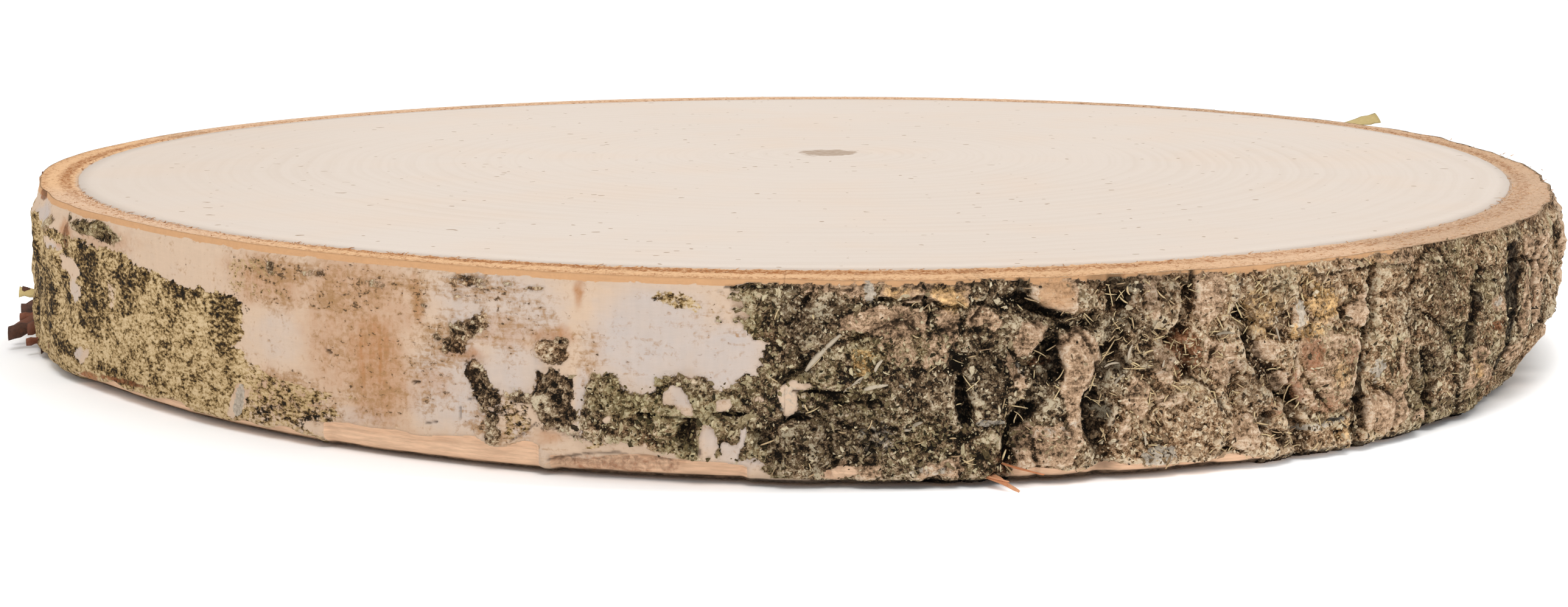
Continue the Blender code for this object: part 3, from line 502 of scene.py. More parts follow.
MOSS_SHREDS = (
    (125.2, 14.4, 1.5, 4.3, 0.8, -1.7, 0.5, 0.9),
    (-85.4, 3.8, 1.9, 2.6, 0.4, 0.5, 1.5, 0.6),
)
SPLINTERS = (
    (9.9, 0.80, 0.9, 2.3, -0.3, 1.3, 0.6, 0.30),
    (10.7, 0.80, 1.0, 2.9, -0.3, 1.9, 0.6, 0.25),
)
SHRED_ROOT_DEPTH = 2.6

# A direction that no thread follows, and where crumbs and straw lie: from and to by angle, then by height
UNFOLLOWED = (0.13, 0.29, 0.95)
CRUMB_REACH = (-14.5, 150.0, 0.3, THICKNESS - 0.2)
STRAW_REACH = (-3.0, 58.0, 0.6, THICKNESS - 0.4)

# A middling thread's length, and how much of the saw's fuzz is at the front, out to which angle
STRAW_LENGTH, FUZZ_LENGTH = 0.75, 0.34
FUZZ_FRONT_SHARE, FUZZ_FRONT_TO = 0.6, 75

# Grey sticks on the cracked side: angle, height, length, tilt in degrees, width
STICKS = ((0.75, 9.75, 3.7, 48.0, 0.46), (3.8, 7.3, 1.7, 14.0, 0.40), (5.0, 7.4, 1.3, -14.0, 0.34),
          (3.95, 8.8, 1.1, 62.0, 0.26), (6.1, 4.35, 1.2, 35.0, 0.30), (5.4, 4.0, 1.0, 10.0, 0.26),
          (20.9, 7.6, 2.0, 88.0, 0.20), (25.0, 10.15, 1.3, 4.0, 0.22), (25.2, 7.9, 1.2, 30.0, 0.20),
          (28.3, 11.2, 1.2, -50.0, 0.20), (28.7, 9.8, 1.4, -80.0, 0.18), (18.9, 9.2, 1.3, 84.0, 0.18),
          (17.9, 8.3, 1.0, 20.0, 0.16), (18.2, 7.2, 1.2, 55.0, 0.18), (19.7, 2.9, 1.1, -80.0, 0.18),
          (2.7, 7.6, 1.3, 48.0, 0.16), (2.4, 7.3, 1.4, 36.0, 0.14), (3.0, 7.8, 1.0, 60.0, 0.14))

STICK_TAPER = (0.4, 0.8, 1.0, 1.0, 0.95, 1.0, 0.9, 0.7, 0.35)

# Where the straw gathers: strength, angle, reach along the rim in degrees, height, reach upwards
STRAW_TUFTS = (
    (0.75, 23.0, 8.5, 0.0, math.inf),
    (1.0, 27.2, 2.4, 12.0, 2.6),
    (0.9, 20.4, 1.7, 9.3, 1.6),
)

# Seeds of the random draws
CRUMB_SEED, STRAW_SEED, FUZZ_SEED = 11, 21, 41
BARK_SHRED_SEED, MOSS_SHRED_SEED, SPLINTER_SEED = 31, 32, 33

# Patches of the cracked side
RUST_PATCHES = (
    (22.5, 8.9, 1.15, 1.6, 10, 1.0), (31.3, 7.9, 1.0, 1.4, 20, 0.7), (32.6, 4.0, 1.4, 0.7, 5, 0.5),
    (30.4, 5.4, 0.5, 1.2, 20, 0.6), (34.2, 7.6, 0.8, 0.9, 0, 0.5), (50.8, 7.3, 1.6, 0.35, -8, 1.0),
    (54.6, 1.6, 1.2, 0.8, 0, 0.9), (28.4, 4.2, 1.0, 0.7, 0, 0.5), (13.4, 8.8, 0.9, 0.3, 10, 0.7),
    (58.6, 7.9, 0.7, 1.1, 0, 0.7), (29.9, 6.0, 0.5, 1.4, 10, 0.6), (-57.0, 1.4, 4.4, 0.22, 2, 1.0),
    (-63.0, 0.8, 1.9, 0.4, 6, 0.8), (11.4, 1.6, 0.7, 1.2, 0, 0.6), (-11.8, 1.0, 5.0, 0.8, 3, 0.5),
    (-66.4, 12.3, 0.8, 1.0, 10, 0.7), (-75.5, 14.7, 1.6, 0.5, 0, 1.0), (21.7, 9.6, 0.7, 0.5, 0, 0.8),
    (34.6, 3.6, 0.6, 0.8, 0, 0.6),
)
GOLD_PATCHES = (
    (32.4, 11.6, 1.5, 1.3, -10, 1.0), (31.0, 9.6, 1.5, 0.9, 0, 0.8), (33.6, 6.4, 1.0, 1.6, 0, 0.5),
    (8.0, 13.9, 1.45, 1.0, 0, 0.7), (5.4, 14.3, 1.4, 0.7, 0, 0.5), (27.6, 11.8, 1.9, 2.0, 0, 0.6),
    (34.2, 1.8, 1.5, 0.9, 0, 0.6), (48.4, 4.2, 1.0, 1.0, 0, 0.6), (2.9, 9.2, 0.9, 0.9, 0, 0.8),
    (37.2, 14.3, 3.0, 0.4, 0, 0.4), (30.9, 13.8, 0.9, 1.0, 0, 0.5),
)
PALE_PATCHES = (
    (-41.9, 2.3, 0.6, 1.35, -24, 1.0), (30.6, 11.0, 0.75, 0.85, 0, 1.0), (37.2, 5.9, 0.7, 0.95, 0, 1.0),
    (20.8, 1.6, 1.4, 0.7, 0, 1.0), (3.5, 14.1, 0.5, 0.8, 20, 0.8), (-1.1, 6.2, 1.1, 1.2, 20, 0.4),
    (3.9, 3.4, 1.4, 1.5, 0, 0.4), (10.6, 4.5, 1.2, 0.2, 0, 0.9), (32.6, 2.5, 2.0, 0.25, 5, 0.9),
    (50.6, 9.2, 1.0, 0.4, 8, 0.7), (7.2, 1.2, 1.5, 0.5, 0, 0.5), (14.0, 3.8, 2.0, 0.7, 0, 0.4),
    (12.2, 8.6, 0.4, 0.9, 10, 0.4),
)
ORANGE_PATCHES = (
    (14.2, 13.8, 1.45, 1.3, -20, 0.52), (1.6, 0.9, 1.4, 0.5, 5, 0.8), (18.0, 0.5, 6.8, 0.5, 0, 0.9),
)


def smooth(x):
    """0 below 0, 1 above 1, and an even S between."""
    x = np.clip(x, 0.0, 1.0)
    return x * x * (3.0 - 2.0 * x)


def from_front(angle):
    """The same angle, from -180 to 180."""
    return (np.asarray(angle) + 180.0) % 360.0 - 180.0


def along_rim(angle):
    """Millimetres round the rim from the front."""
    return np.radians(angle) * MEAN_RADIUS


def outline(angle, mean, lobes):
    """A radius in plan, in millimetres: a circle with a few low lobes."""
    radius = mean + 0.0 * np.asarray(angle, float)
    for order, size, peak in lobes:
        radius = radius + size * np.cos(order * np.radians(angle - peak))
    return radius


def rim_radius(angle):
    return outline(angle, MEAN_RADIUS, RIM_LOBES)


def wood_radius(angle):
    return outline(angle, WOOD_RADIUS, WOOD_LOBES)


def corky(angle):
    """1 on the thick, cracked side of the bark and 0 on the papery side."""
    a = from_front(angle)
    return smooth((a - CORKY_FROM) / CORKY_BLEND) * (1.0 - smooth((a - CORKY_TO) / CORKY_BLEND))


def lattice(i, j, seed):
    """A fixed random number from 0 to 1 for each whole i and j."""
    mixed = (i * 73856093) ^ (j * 19349663) ^ (seed * 83492791)
    mixed = ((mixed ^ (mixed >> 13)) * 1274126177) & 0xFFFFFFFF
    return ((mixed ^ (mixed >> 16)) & 0xFFFFFF) / 0xFFFFFF


def cells(along, height, wide, tall):
    """(cells round the rim, each point's place among them both ways, and its own cell both ways)."""
    around = round(2.0 * math.pi * MEAN_RADIUS / wide)
    u = along / (2.0 * math.pi * MEAN_RADIUS) * around
    v = height / tall
    return around, u, v, np.floor(u).astype(np.int64), np.floor(v).astype(np.int64)


def noise(along, height, wide, tall, seed):
    """Smooth lumps from -1 to 1, about wide by tall millimetres, that close up round the rim."""
    around, u, v, i, j = cells(along, height, wide, tall)
    du, dv = smooth(u - i), smooth(v - j)

    def across(row):
        return lattice(i % around, row, seed) * (1 - du) + lattice((i + 1) % around, row, seed) * du

    return 2.0 * (across(j) * (1 - dv) + across(j + 1) * dv) - 1.0


def fractal(along, height, wide, tall, octaves, seed, keep=0.55):
    """Lumps on lumps from about -1 to 1, each octave half as large and keep times as strong."""
    total, share, weight = 0.0, 1.0, 0.0
    for n in range(octaves):
        moved = along + 0.37 * n * height, height + 1.7 * n
        total = total + share * noise(*moved, wide / 2**n, tall / 2**n, seed + n)
        weight += share * share
        share *= keep
    return total / math.sqrt(weight)


def plates(along, height, wide, tall, seed):
    """(distance to the nearest gap, a random number for each plate) of a crazed pattern of plates."""
    around, u, v, i0, j0 = cells(along, height, wide, tall)
    nearest = np.full(u.shape, 9.0)
    second = np.full(u.shape, 9.0)
    plate = np.zeros(u.shape)
    for di in (-1, 0, 1):
        for dj in (-1, 0, 1):
            i, j = i0 + di, j0 + dj
            x = i + lattice(i % around, j, seed)
            y = j + lattice(i % around, j, seed + 1)
            away = np.hypot(u - x, v - y)
            closer = away < nearest
            second = np.where(closer, nearest, np.minimum(second, away))
            plate = np.where(closer, lattice(i % around, j, seed + 2), plate)
            nearest = np.where(closer, away, nearest)
    return (second - nearest) * min(wide, tall) / 2.0, plate


def cork_plates(along, height):
    """The cracked side's plates, whose borders are bent."""
    bent = along + 1.4 * noise(along, height, 6.0, 5.0, 11)
    return plates(bent, height, PLATE_WIDE, PLATE_TALL, 21)


def off_line(x, y, run, rise):
    """Distance from (x, y) to the line from (0, 0) to (run, rise)."""
    share = np.clip((x * run + y * rise) / (run * run + rise * rise), 0.0, 1.0)
    return np.hypot(x - share * run, y - share * rise)


def route_distance(angle, height, route):
    """Millimetres from each point of the bark to a route of (angle, height) points."""
    best = np.full(np.shape(angle), 1e9)
    for (a0, h0), (a1, h1) in zip(route, route[1:]):
        run, rise = float(along_rim(a1 - a0)), h1 - h0
        x, y = along_rim(from_front(angle - a0)), height - h0
        best = np.minimum(best, off_line(x, y, run, rise))
    return best


def back_furrows():
    """The furrows that the rule gives, in the form of FURROWS."""
    made = []
    count = int((BACK_FURROWS_TO - BACK_FURROWS_FROM) / BACK_FURROW_STEP)
    for n in range(count):
        luck = [float(lattice(n, k, 7)) for k in range(8)]
        angle = BACK_FURROWS_FROM + n * BACK_FURROW_STEP + BACK_FURROW_JITTER * (2 * luck[0] - 1)
        bends = [angle + BACK_FURROW_WANDER * (2 * luck[2 + k] - 1) for k in range(5)]
        route = tuple((bend, THICKNESS * k / 4) for k, bend in enumerate(bends))
        half_width = np.interp(luck[7], (0, 1), BACK_FURROW_HALF_WIDTH)
        depth = np.interp(luck[1], (0, 1), BACK_FURROW_DEPTH)
        made.append((half_width, depth, route))
    return tuple(made)


def furrow_depth(angle, height):
    """Depth in millimetres, with banks that wander a little."""
    depth = np.zeros(np.shape(angle))
    ragged = 0.22 * fractal(along_rim(angle), height, 0.9, 0.9, 2, 71)
    calm = 0.5 + 0.5 * smooth((from_front(angle) - 49.0) / 3.0)
    for half_width, deepest, route in FURROWS + back_furrows():
        away = route_distance(angle, height, route) + ragged
        depth = np.maximum(depth, deepest * (1.0 - smooth((away / half_width - 0.3) / 1.5)))
    fade = smooth((height - FURROW_FADE[0]) / (FURROW_FADE[1] - FURROW_FADE[0]))
    return depth * calm * (1.0 - (1.0 - FURROW_SHARE_AT_TOP) * fade)


def chip_depth(angle, height):
    """(short chips, long undercut on the right): how much is gone at the lower edge, in millimetres."""
    depth = np.zeros(np.shape(angle))
    wobble = 0.35 * noise(along_rim(angle), height, 2.4, 9.0, 41)
    for start, end, tall, deep in LOWER_CHIPS:
        middle, half = (start + end) / 2.0, (end - start) / 2.0
        inside = 1.0 - smooth((np.abs(from_front(angle - middle)) - half) / LOWER_CHIP_BLEND + 1.0)
        depth = np.maximum(depth, deep * inside * (1.0 - smooth((height - tall - wobble) / 0.25 + 0.5)))
    a = from_front(angle)
    before = smooth((a - UNDERCUT_FROM) / (UNDERCUT_MIDDLE - UNDERCUT_FROM))
    after = 1.0 - smooth((a - UNDERCUT_MIDDLE) / (UNDERCUT_TO - UNDERCUT_MIDDLE))
    undercut = UNDERCUT_DEPTH * before * after * (1.0 - smooth(height / UNDERCUT_HEIGHT))
    return depth, undercut


def corky_height(angle, height):
    along = along_rim(angle)
    edge, plate = cork_plates(along, height)
    gap = 1.0 - smooth(edge / PLATE_GAP_HALF_WIDTH)
    lump = noise(along, height, LUMP_WIDE, LUMP_TALL, 31)
    return PLATE_HEIGHT_SPREAD * (plate - 0.5) - PLATE_GAP_DEPTH * gap + LUMP_HEIGHT / 2.0 * lump


def papery_height(angle, height):
    along = along_rim(angle)
    raised = WAVE_HEIGHT / 2.0 * noise(along, height, WAVE_WIDE, WAVE_TALL, 51)
    for at, up, half_wide, half_tall, proud in SCABS:
        away = np.hypot(along_rim(from_front(angle - at)) / half_wide, (height - up) / half_tall)
        away = away + 0.25 * noise(along, height, 1.6, 1.4, 61)
        raised = raised + 0.7 * proud * (1.0 - smooth((away - 0.75) / 0.5))
    a = from_front(angle)
    left = smooth((a - LEFT_CRUST_FROM) / 10.0) * smooth((LEFT_CRUST_TO - a) / 12.0)
    lumps = 0.8 + 0.5 * noise(along, height, 2.6, 3.4, 65)
    return raised + LEFT_CRUST_HEIGHT * left * lumps * (1.0 - 0.5 * smooth((height - 12.6) / 1.2))


def patched(angle, height, rows, ragged, seed, soft=0.5):
    """0 to 1 in patches: each row is an angle, a height, half width and height, a tilt and a strength."""
    covered = np.zeros(np.shape(angle))
    torn = ragged * fractal(along_rim(angle), height, 1.3, 1.1, 4, seed, 0.7)
    for at, up, half_wide, half_tall, tilt, strength in rows:
        x, y = along_rim(from_front(angle - at)), height - up
        turn = math.radians(tilt)
        across = (x * math.cos(turn) + y * math.sin(turn)) / half_wide
        upward = (y * math.cos(turn) - x * math.sin(turn)) / half_tall
        away = np.hypot(across, upward) + torn * min(1.0, 1.0 / min(half_wide, half_tall))
        covered = np.maximum(covered, strength * (1.0 - smooth((away - 1.0 + soft / 2.0) / soft)))
    return covered


def shaped(angle, height, rows, ragged, seed, soft=0.25, grown=0.0):
    """0 to 1 inside traced shapes, with torn edges: each row is a strength and an outline's corners."""
    covered = np.zeros(np.shape(angle))
    x = along_rim(from_front(angle)) + covered
    y = height + covered
    torn = ragged * fractal(along_rim(angle), height, 1.3, 1.1, 4, seed, 0.7) + covered
    for strength, corners in rows:
        at, up = np.array(corners).T
        over = along_rim(at)
        near = (x > over.min() - 1) & (x < over.max() + 1) & (y > up.min() - 1) & (y < up.max() + 1)
        px, py = x[near], y[near]
        away, within = np.full(px.shape, 9.0), np.zeros(px.shape, bool)
        for x0, y0, x1, y1 in zip(over, up, np.roll(over, -1), np.roll(up, -1)):
            run, rise = x1 - x0, y1 - y0
            away = np.minimum(away, off_line(px - x0, py - y0, run, rise))
            if rise:
                within ^= ((y0 > py) != (y1 > py)) & (px < x0 + run * (py - y0) / rise)
        deep = np.where(within, away, -away) + torn[near] + grown
        covered[near] = np.maximum(covered[near], strength * smooth(deep / soft + 0.5))
    return covered


def cracked(angle, height):
    """1 along the traced thin cracks and 0 away from them, breaking up here and there."""
    found = np.zeros(np.shape(angle)) + 0.0 * np.asarray(height)
    along = along_rim(angle)
    ragged = 0.07 * fractal(along, height, 0.7, 0.6, 2, 473)
    patchy = 0.78 + 0.35 * noise(along, height, 1.2, 1.2, 479)
    for half_width, strength, route in CRACKS:
        away = route_distance(angle, height, route) + ragged
        gone = smooth((away - half_width * 0.6) / (half_width * 1.1))
        found = np.maximum(found, strength * patchy * (1.0 - gone))
    return np.clip(found, 0.0, 1.0)


def line_at(x, points):
    """Straight-line reading of a list of (x, y) points."""
    return np.interp(x, [p[0] for p in points], [p[1] for p in points])


def ground(angle, height):
    """What covers the bark at each point: a dict of values from 0 to 1."""
    a = from_front(angle)
    along = along_rim(angle)
    rough = fractal(along, height, 1.6, 1.2, 5, 201, 0.7)
    streaky = fractal(along, height, 3.2, 0.5, 3, 211, 0.7)
    cork = corky(angle)
    chips, _ = chip_depth(angle, height)
    bare = smooth((chips - 0.12) / 0.15)
    top_band = smooth((a - TOP_BAND_FROM) / 4) * (1 - smooth((a - TOP_BAND_TO) / 4))
    deep = TOP_BAND_HEIGHT * (1 - 0.45 * smooth((a - CORKY_FROM) / 2))
    top_band = top_band * smooth((height - (THICKNESS - deep) + (0.09 + 0.2 * cork) * rough) / 0.12)

    lichen = smooth((line_at(a, LICHEN_TOP) - height + 0.45 * rough) / 0.3)
    lichen = lichen * smooth((line_at(height, LICHEN_RIGHT) - a + 1.3 * rough + 1.2 * streaky) / 0.9)
    lichen = lichen * (1 - cork) * (1 - 0.42 * smooth((a + 42.0) / 1.5))
    far_side = smooth((LICHEN_BACK[1] - a) / 6) + smooth((a - LICHEN_BACK[0]) / 6)
    lichen = lichen * (1 - far_side * smooth(0.6 * noise(along, height, 14.0, 12.0, 221) + 0.5))
    lichen = np.maximum(lichen, patched(angle, height, LICHEN_PATCHES, 0.4, 231))
    windows = shaped(angle, height, WINDOW_SHAPES, 0.2, 267)
    lichen = lichen * (1 - patched(angle, height, LICHEN_BARE, 0.3, 241)) * (1 - bare) * (1 - windows)
    lichen = lichen * (1 - shaped(angle, height, LICHEN_WINDOWS, 0.38, 243, 0.7))
    olive = 0.31 + 0.66 * patched(angle, height, OLIVE_PATCHES, 0.5, 251)
    olive = olive + 0.12 * noise(along, height, 5, 4, 259)

    crust = smooth((a - line_at(height, CRUST_LEFT) + 1.1 * rough) / 0.5)
    crust = crust * (1 - smooth((a - CORKY_TO + 3.0 * rough + 2.0 * streaky) / 3))
    crust = np.maximum(crust, shaped(angle, height, SCAB_SHAPES, 0.34, 263, 0.8, 0.2))
    crust = crust * (1 - patched(angle, height, CRUST_BARE, 0.4, 261)) * (1 - windows)
    crust = np.maximum(crust, patched(angle, height, CRUST_PATCHES, 0.45, 271))
    scattered = fractal(along, height, 7.0, 5.0, 3, 281) - 0.55
    behind = smooth((a - CRUST_BACK[0]) / 4) + smooth((CRUST_BACK[1] - a) / 6)
    crust = np.maximum(crust, 0.8 * smooth(scattered / 0.2) * (1 - cork) * behind)
    crust = crust * (1 - bare) * (1 - top_band)

    _, luck = cork_plates(along, height)
    back = smooth((a - PLATE_BACK) / 2)
    plate = shaped(angle, height, PLATE_SHAPES, 0.2, 291, 0.35)
    plate = np.maximum(plate, back * smooth((luck - 0.62 + 0.14 * rough) / 0.1) * 0.85) * cork
    return {
        "lichen": lichen,
        "olive": np.clip(olive, 0, 1),
        "crust": crust,
        "clean": patched(angle, height, CLEAN_PATCHES, 0.3, 301, 0.8),
        "stain": patched(angle, height, STAIN_PATCHES, 0.45, 311, 1.3),
        "grime": patched(angle, height, GRIME_PATCHES, 0.3, 321, 1.2),
        "plate": plate,
        "slot": np.maximum(shaped(angle, height, SLOT_SHAPES, 0.16, 293, 0.4), cracked(angle, height)),
        "zone": shaped(angle, height, DARK_ZONES, 0.5, 297, 1.2),
        "rust": patched(angle, height, RUST_PATCHES, 0.35, 331),
        "gold": patched(angle, height, GOLD_PATCHES, 0.6, 341, 0.8),
        "pale": patched(angle, height, PALE_PATCHES, 0.5, 351),
        "orange": np.maximum(patched(angle, height, ORANGE_PATCHES, 0.25, 361), np.maximum(bare, top_band)),
        "green": np.clip(line_at(a, GREENNESS) + 0.35 * noise(along, height, 4.0, 3.4, 371), 0, 1),
        "dark": np.clip(line_at(a, DARKNESS) + 0.30 * fractal(along, height, 4.6, 3.6, 3, 381), 0, 1),
    }


def craze(angle, height):
    """1 along the fine cracks of the crust and 0 away from them."""
    along = along_rim(angle)
    bend = 0.5 * fractal(along, height, 1.6, 1.4, 3, 463)
    edge, _ = plates(along + bend, height - bend, 2.6, 2.0, 461)
    broken = smooth(1.6 * fractal(along, height, 2.4, 2.2, 2, 467) + 0.1)
    return (1.0 - smooth((edge - 0.02) / 0.12)) * broken


def bark_radius(angle, height, on=None):
    """Millimetres from the axis to the bark's surface, with its fine relief where `on` is given."""
    share = corky(angle)
    relief = share * corky_height(angle, height) + (1.0 - share) * papery_height(angle, height)
    chips, undercut = chip_depth(angle, height)
    relief = relief - furrow_depth(angle, height) - np.maximum(chips, undercut)
    from_face = np.minimum(height, THICKNESS - height)
    relief = relief - WORN_EDGE_DEPTH * (1.0 - smooth(from_face / WORN_EDGE_HEIGHT))
    a = from_front(angle)
    limb = smooth((a - LIMB_FROM) / LIMB_BLEND) * smooth((LIMB_TO - a) / LIMB_BLEND)
    relief = relief - LIMB_DEPTH * limb
    if on is not None:
        relief = relief + fine_relief(angle, height, on)
    relief = relief - FOOT_DEPTH * (1.0 - smooth(height / FOOT_HEIGHT))
    return rim_radius(angle) + relief


def fine_relief(angle, height, on):
    """Craggy crust, flaky plates, grainy lichen, wrinkled paper and the grain of bare inner bark."""
    along = along_rim(angle)
    warp = 0.5 * noise(along, height, 1.7, 1.5, 401)
    crags = fractal(along + warp, height - warp, 1.5, 1.3, 4, 411, 0.62)
    ridges = 1.0 - 2.0 * np.abs(fractal(along - warp, height + warp, 0.9, 0.8, 3, 421, 0.6))
    wrinkles = fractal(along + warp, height, 3.0, 0.45, 3, 431)
    grains = fractal(along, height, 0.55, 0.5, 2, 441)
    plate = smooth((on["plate"] - 0.3) / 0.35)
    rough = on["crust"] * (1.0 - 0.55 * plate)
    steps = 0.16 * np.floor(2.2 * crags + 0.5)
    kept = line_at(from_front(angle), CRUST_RELIEF)
    made = on["crust"] * 0.15 + rough * kept * (0.18 * crags + 0.09 * ridges + 0.5 * steps + 0.05 * grains)
    made = made - 0.10 * craze(angle, height) * on["crust"] * (1.0 - plate)
    made = made - on["slot"] * line_at(from_front(angle), SLOT_DEPTH)
    made = made + plate * (0.18 + 0.06 * wrinkles + 0.06 * crags)
    made = made + on["lichen"] * (0.05 + 0.06 * grains)
    made = made * (1.0 - 0.85 * smooth((height - 13.7) / 1.0))
    quiet = (1.0 - on["crust"]) * (1.0 - on["lichen"])
    return made + quiet * 0.03 * wrinkles + on["orange"] * 0.03 * wrinkles


def rim_point(angle, radius, height):
    """Points in metres from angles, radii and heights, as an array whose last axis is x, y, z."""
    turned = np.radians(angle)
    return np.stack(np.broadcast_arrays(radius * np.sin(turned), -radius * np.cos(turned), height), -1) * MM


def blurred(grid, reach):
    """The mean of each value's neighbours, out to reach steps each way."""
    for axis in (0, 1):
        padded = np.pad(grid, [(reach, reach) if k == axis else (0, 0) for k in (0, 1)], mode="edge")
        total = np.cumsum(padded, axis=axis)
        total = np.insert(total, 0, 0.0, axis=axis)
        size = 2 * reach + 1
        ahead = np.take(total, np.arange(size, total.shape[axis]), axis=axis)
        behind = np.take(total, np.arange(0, total.shape[axis] - size), axis=axis)
        grid = (ahead - behind) / size
    return grid


def deselect_all():
    if bpy.context.mode != "OBJECT":
        bpy.ops.object.mode_set(mode="OBJECT")
    bpy.ops.object.select_all(action="DESELECT")


def flat_grid(name, columns, rows):
    """A flat grid of columns by rows of faces, ready for its points to be laid out."""
    deselect_all()
    bpy.ops.mesh.primitive_grid_add(x_subdivisions=columns, y_subdivisions=rows, size=1.0)
    made = bpy.context.object
    made.name = made.data.name = name
    return made


def lay_out(piece, points):
    piece.data.vertices.foreach_set("co", np.ascontiguousarray(points, np.float32).reshape(-1))
    piece.data.update()


def write(piece, name, values):
    """Keeps one value or three for each point on the mesh, for the material to read."""
    kind, field = ("FLOAT_VECTOR", "vector") if np.ndim(values) > 1 else ("FLOAT", "value")
    made = piece.data.attributes.new(name, kind, "POINT")
    made.data.foreach_set(field, np.ascontiguousarray(values, np.float32).reshape(-1))


def closed_up(piece):
    """Joins the grid's meeting edges, fills the ends that are left open, and turns all faces out."""
    bpy.context.view_layer.objects.active = piece
    piece.select_set(True)
    bpy.ops.object.mode_set(mode="EDIT")
    bpy.ops.mesh.select_all(action="SELECT")
    bpy.ops.mesh.remove_doubles(threshold=WELD)
    bpy.ops.mesh.select_all(action="DESELECT")
    bpy.ops.mesh.select_mode(type="EDGE")
    bpy.ops.mesh.select_non_manifold(extend=False)
    if piece.data.total_edge_sel:
        bpy.ops.mesh.fill_holes(sides=0)
    bpy.ops.mesh.select_all(action="SELECT")
    bpy.ops.mesh.normals_make_consistent(inside=False)
    bpy.ops.object.mode_set(mode="OBJECT")
    bpy.ops.object.shade_smooth()
    for polygon in piece.data.polygons:
        if len(polygon.vertices) > 4:
            polygon.use_smooth = False


def dressed(piece, finish):
    """Gives the piece its finish and its body, and hides the record's part that it stands in for."""
    piece.data.materials.clear()
    piece.data.materials.append(finish)
    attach(piece, "root")
    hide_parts(NODE)
    return piece


class Value:
    """A socket of a shader. Sums, differences, products and quotients of it add Math nodes."""

    def __init__(self, shader, socket):
        self.shader = shader
        self.socket = socket

    def math(self, operation, *others):
        return self.shader.node("ShaderNodeMath", {"operation": operation}, self, *others)

    def __add__(self, other):
        return self.math("ADD", other)

    def __radd__(self, other):
        return self.math("ADD", other)

    def __sub__(self, other):
        return self.math("SUBTRACT", other)

    def __rsub__(self, other):
        return self.shader.node("ShaderNodeMath", {"operation": "SUBTRACT"}, other, self)

    def __mul__(self, other):
        return self.math("MULTIPLY", other)

    def __rmul__(self, other):
        return self.math("MULTIPLY", other)

    def __truediv__(self, other):
        return self.math("DIVIDE", other)

    def between(self, low, high):
        """0 below low, 1 above high, and an even S between."""
        return self.shader.node("ShaderNodeMapRange", {"interpolation_type": "SMOOTHSTEP"}, self, low, high)


class Shader:
    """A material under construction."""

    def __init__(self, name, roughness, specular):
        self.material = bpy.data.materials.new(name)
        self.material.use_nodes = True
        self.tree = self.material.node_tree
        self.surface = self.tree.nodes["Principled BSDF"]
        self.surface.inputs["Roughness"].default_value = roughness
        self.surface.inputs["Specular IOR Level"].default_value = specular
        where = self.node("ShaderNodeTexCoord", output="Object")
        self.place = self.node("ShaderNodeMapping", {}, where, Scale=(1 / MM,) * 3)

    def node(self, kind, settings=None, *inputs, output=0, **named):
        """Adds a node: its settings, then its sockets in order or by name. Gives one output or all."""
        made = self.tree.nodes.new(kind)
        for key, value in (settings or {}).items():
            if key == "stops":
                self.set_stops(made.color_ramp, value)
            else:
                setattr(made, key, value)
        free = [s for s in made.inputs if s.enabled]
        pairs = list(zip(free, inputs))
        pairs += [(next(s for s in free if s.name == key), value) for key, value in named.items()]
        for socket, value in pairs:
            if isinstance(value, Value):
                self.tree.links.new(value.socket, socket)
            elif value is not None:
                socket.default_value = value
        outs = [Value(self, s) for s in made.outputs if s.enabled]
        if output == "all":
            return outs
        return outs[output] if isinstance(output, int) else next(v for v in outs if v.socket.name == output)

    def set_stops(self, ramp, stops):
        while len(ramp.elements) < len(stops):
            ramp.elements.new(0.5)
        for element, (at, colour) in zip(ramp.elements, stops):
            element.position = at
            element.color = colour

    def noise(self, scale, detail=2.0, roughness=0.5, at=None, distortion=0.0):
        """Even noise from 0 to 1, with scale lumps to a millimetre."""
        return self.node("ShaderNodeTexNoise", {}, at or self.place, Scale=scale, Detail=detail,
                         Roughness=roughness, Distortion=distortion)

    def stretched(self, x, y, z, turn=0.0):
        """The place scaled unevenly, for noise drawn out into streaks."""
        return self.node("ShaderNodeMapping", {}, self.place, Scale=(x, y, z), Rotation=(0.0, 0.0, turn))

    def mix(self, share, first, second):
        return self.node("ShaderNodeMix", {"data_type": "RGBA"}, share, first, second)

    def distance(self, place):
        """How far each point is from a place, in millimetres."""
        settings = {"operation": "DISTANCE"}
        return self.node("ShaderNodeVectorMath", settings, self.place, place, output="Value")

    def shade(self, colour, factor):
        """The colour made darker or lighter."""
        if not isinstance(colour, Value):
            if not isinstance(factor, Value):
                return tuple(c * factor for c in colour[:3]) + (1.0,)
            colour = colour[:3]
        return self.node("ShaderNodeVectorMath", {"operation": "SCALE"}, colour, Scale=factor)

    def ramp(self, share, stops):
        return self.node("ShaderNodeValToRGB", {"stops": stops}, share)

    def attribute(self, name):
        """The three values kept under that name on the mesh."""
        found = self.node("ShaderNodeAttribute", {"attribute_name": name}, output="Vector")
        return self.node("ShaderNodeSeparateXYZ", {}, found, output="all")

    def number(self, name):
        """The one value kept under that name on the mesh."""
        return self.node("ShaderNodeAttribute", {"attribute_name": name}, output="Fac")

    def join(self, value, socket):
        self.tree.links.new(value.socket, self.surface.inputs[socket])

    def finish(self, colour, height, strength=1.0):
        """Joins the colour and a height in millimetres to the surface."""
        self.join(colour, "Base Color")
        self.join(self.node("ShaderNodeBump", {}, Strength=strength, Distance=MM, Height=height), "Normal")
        return self.material


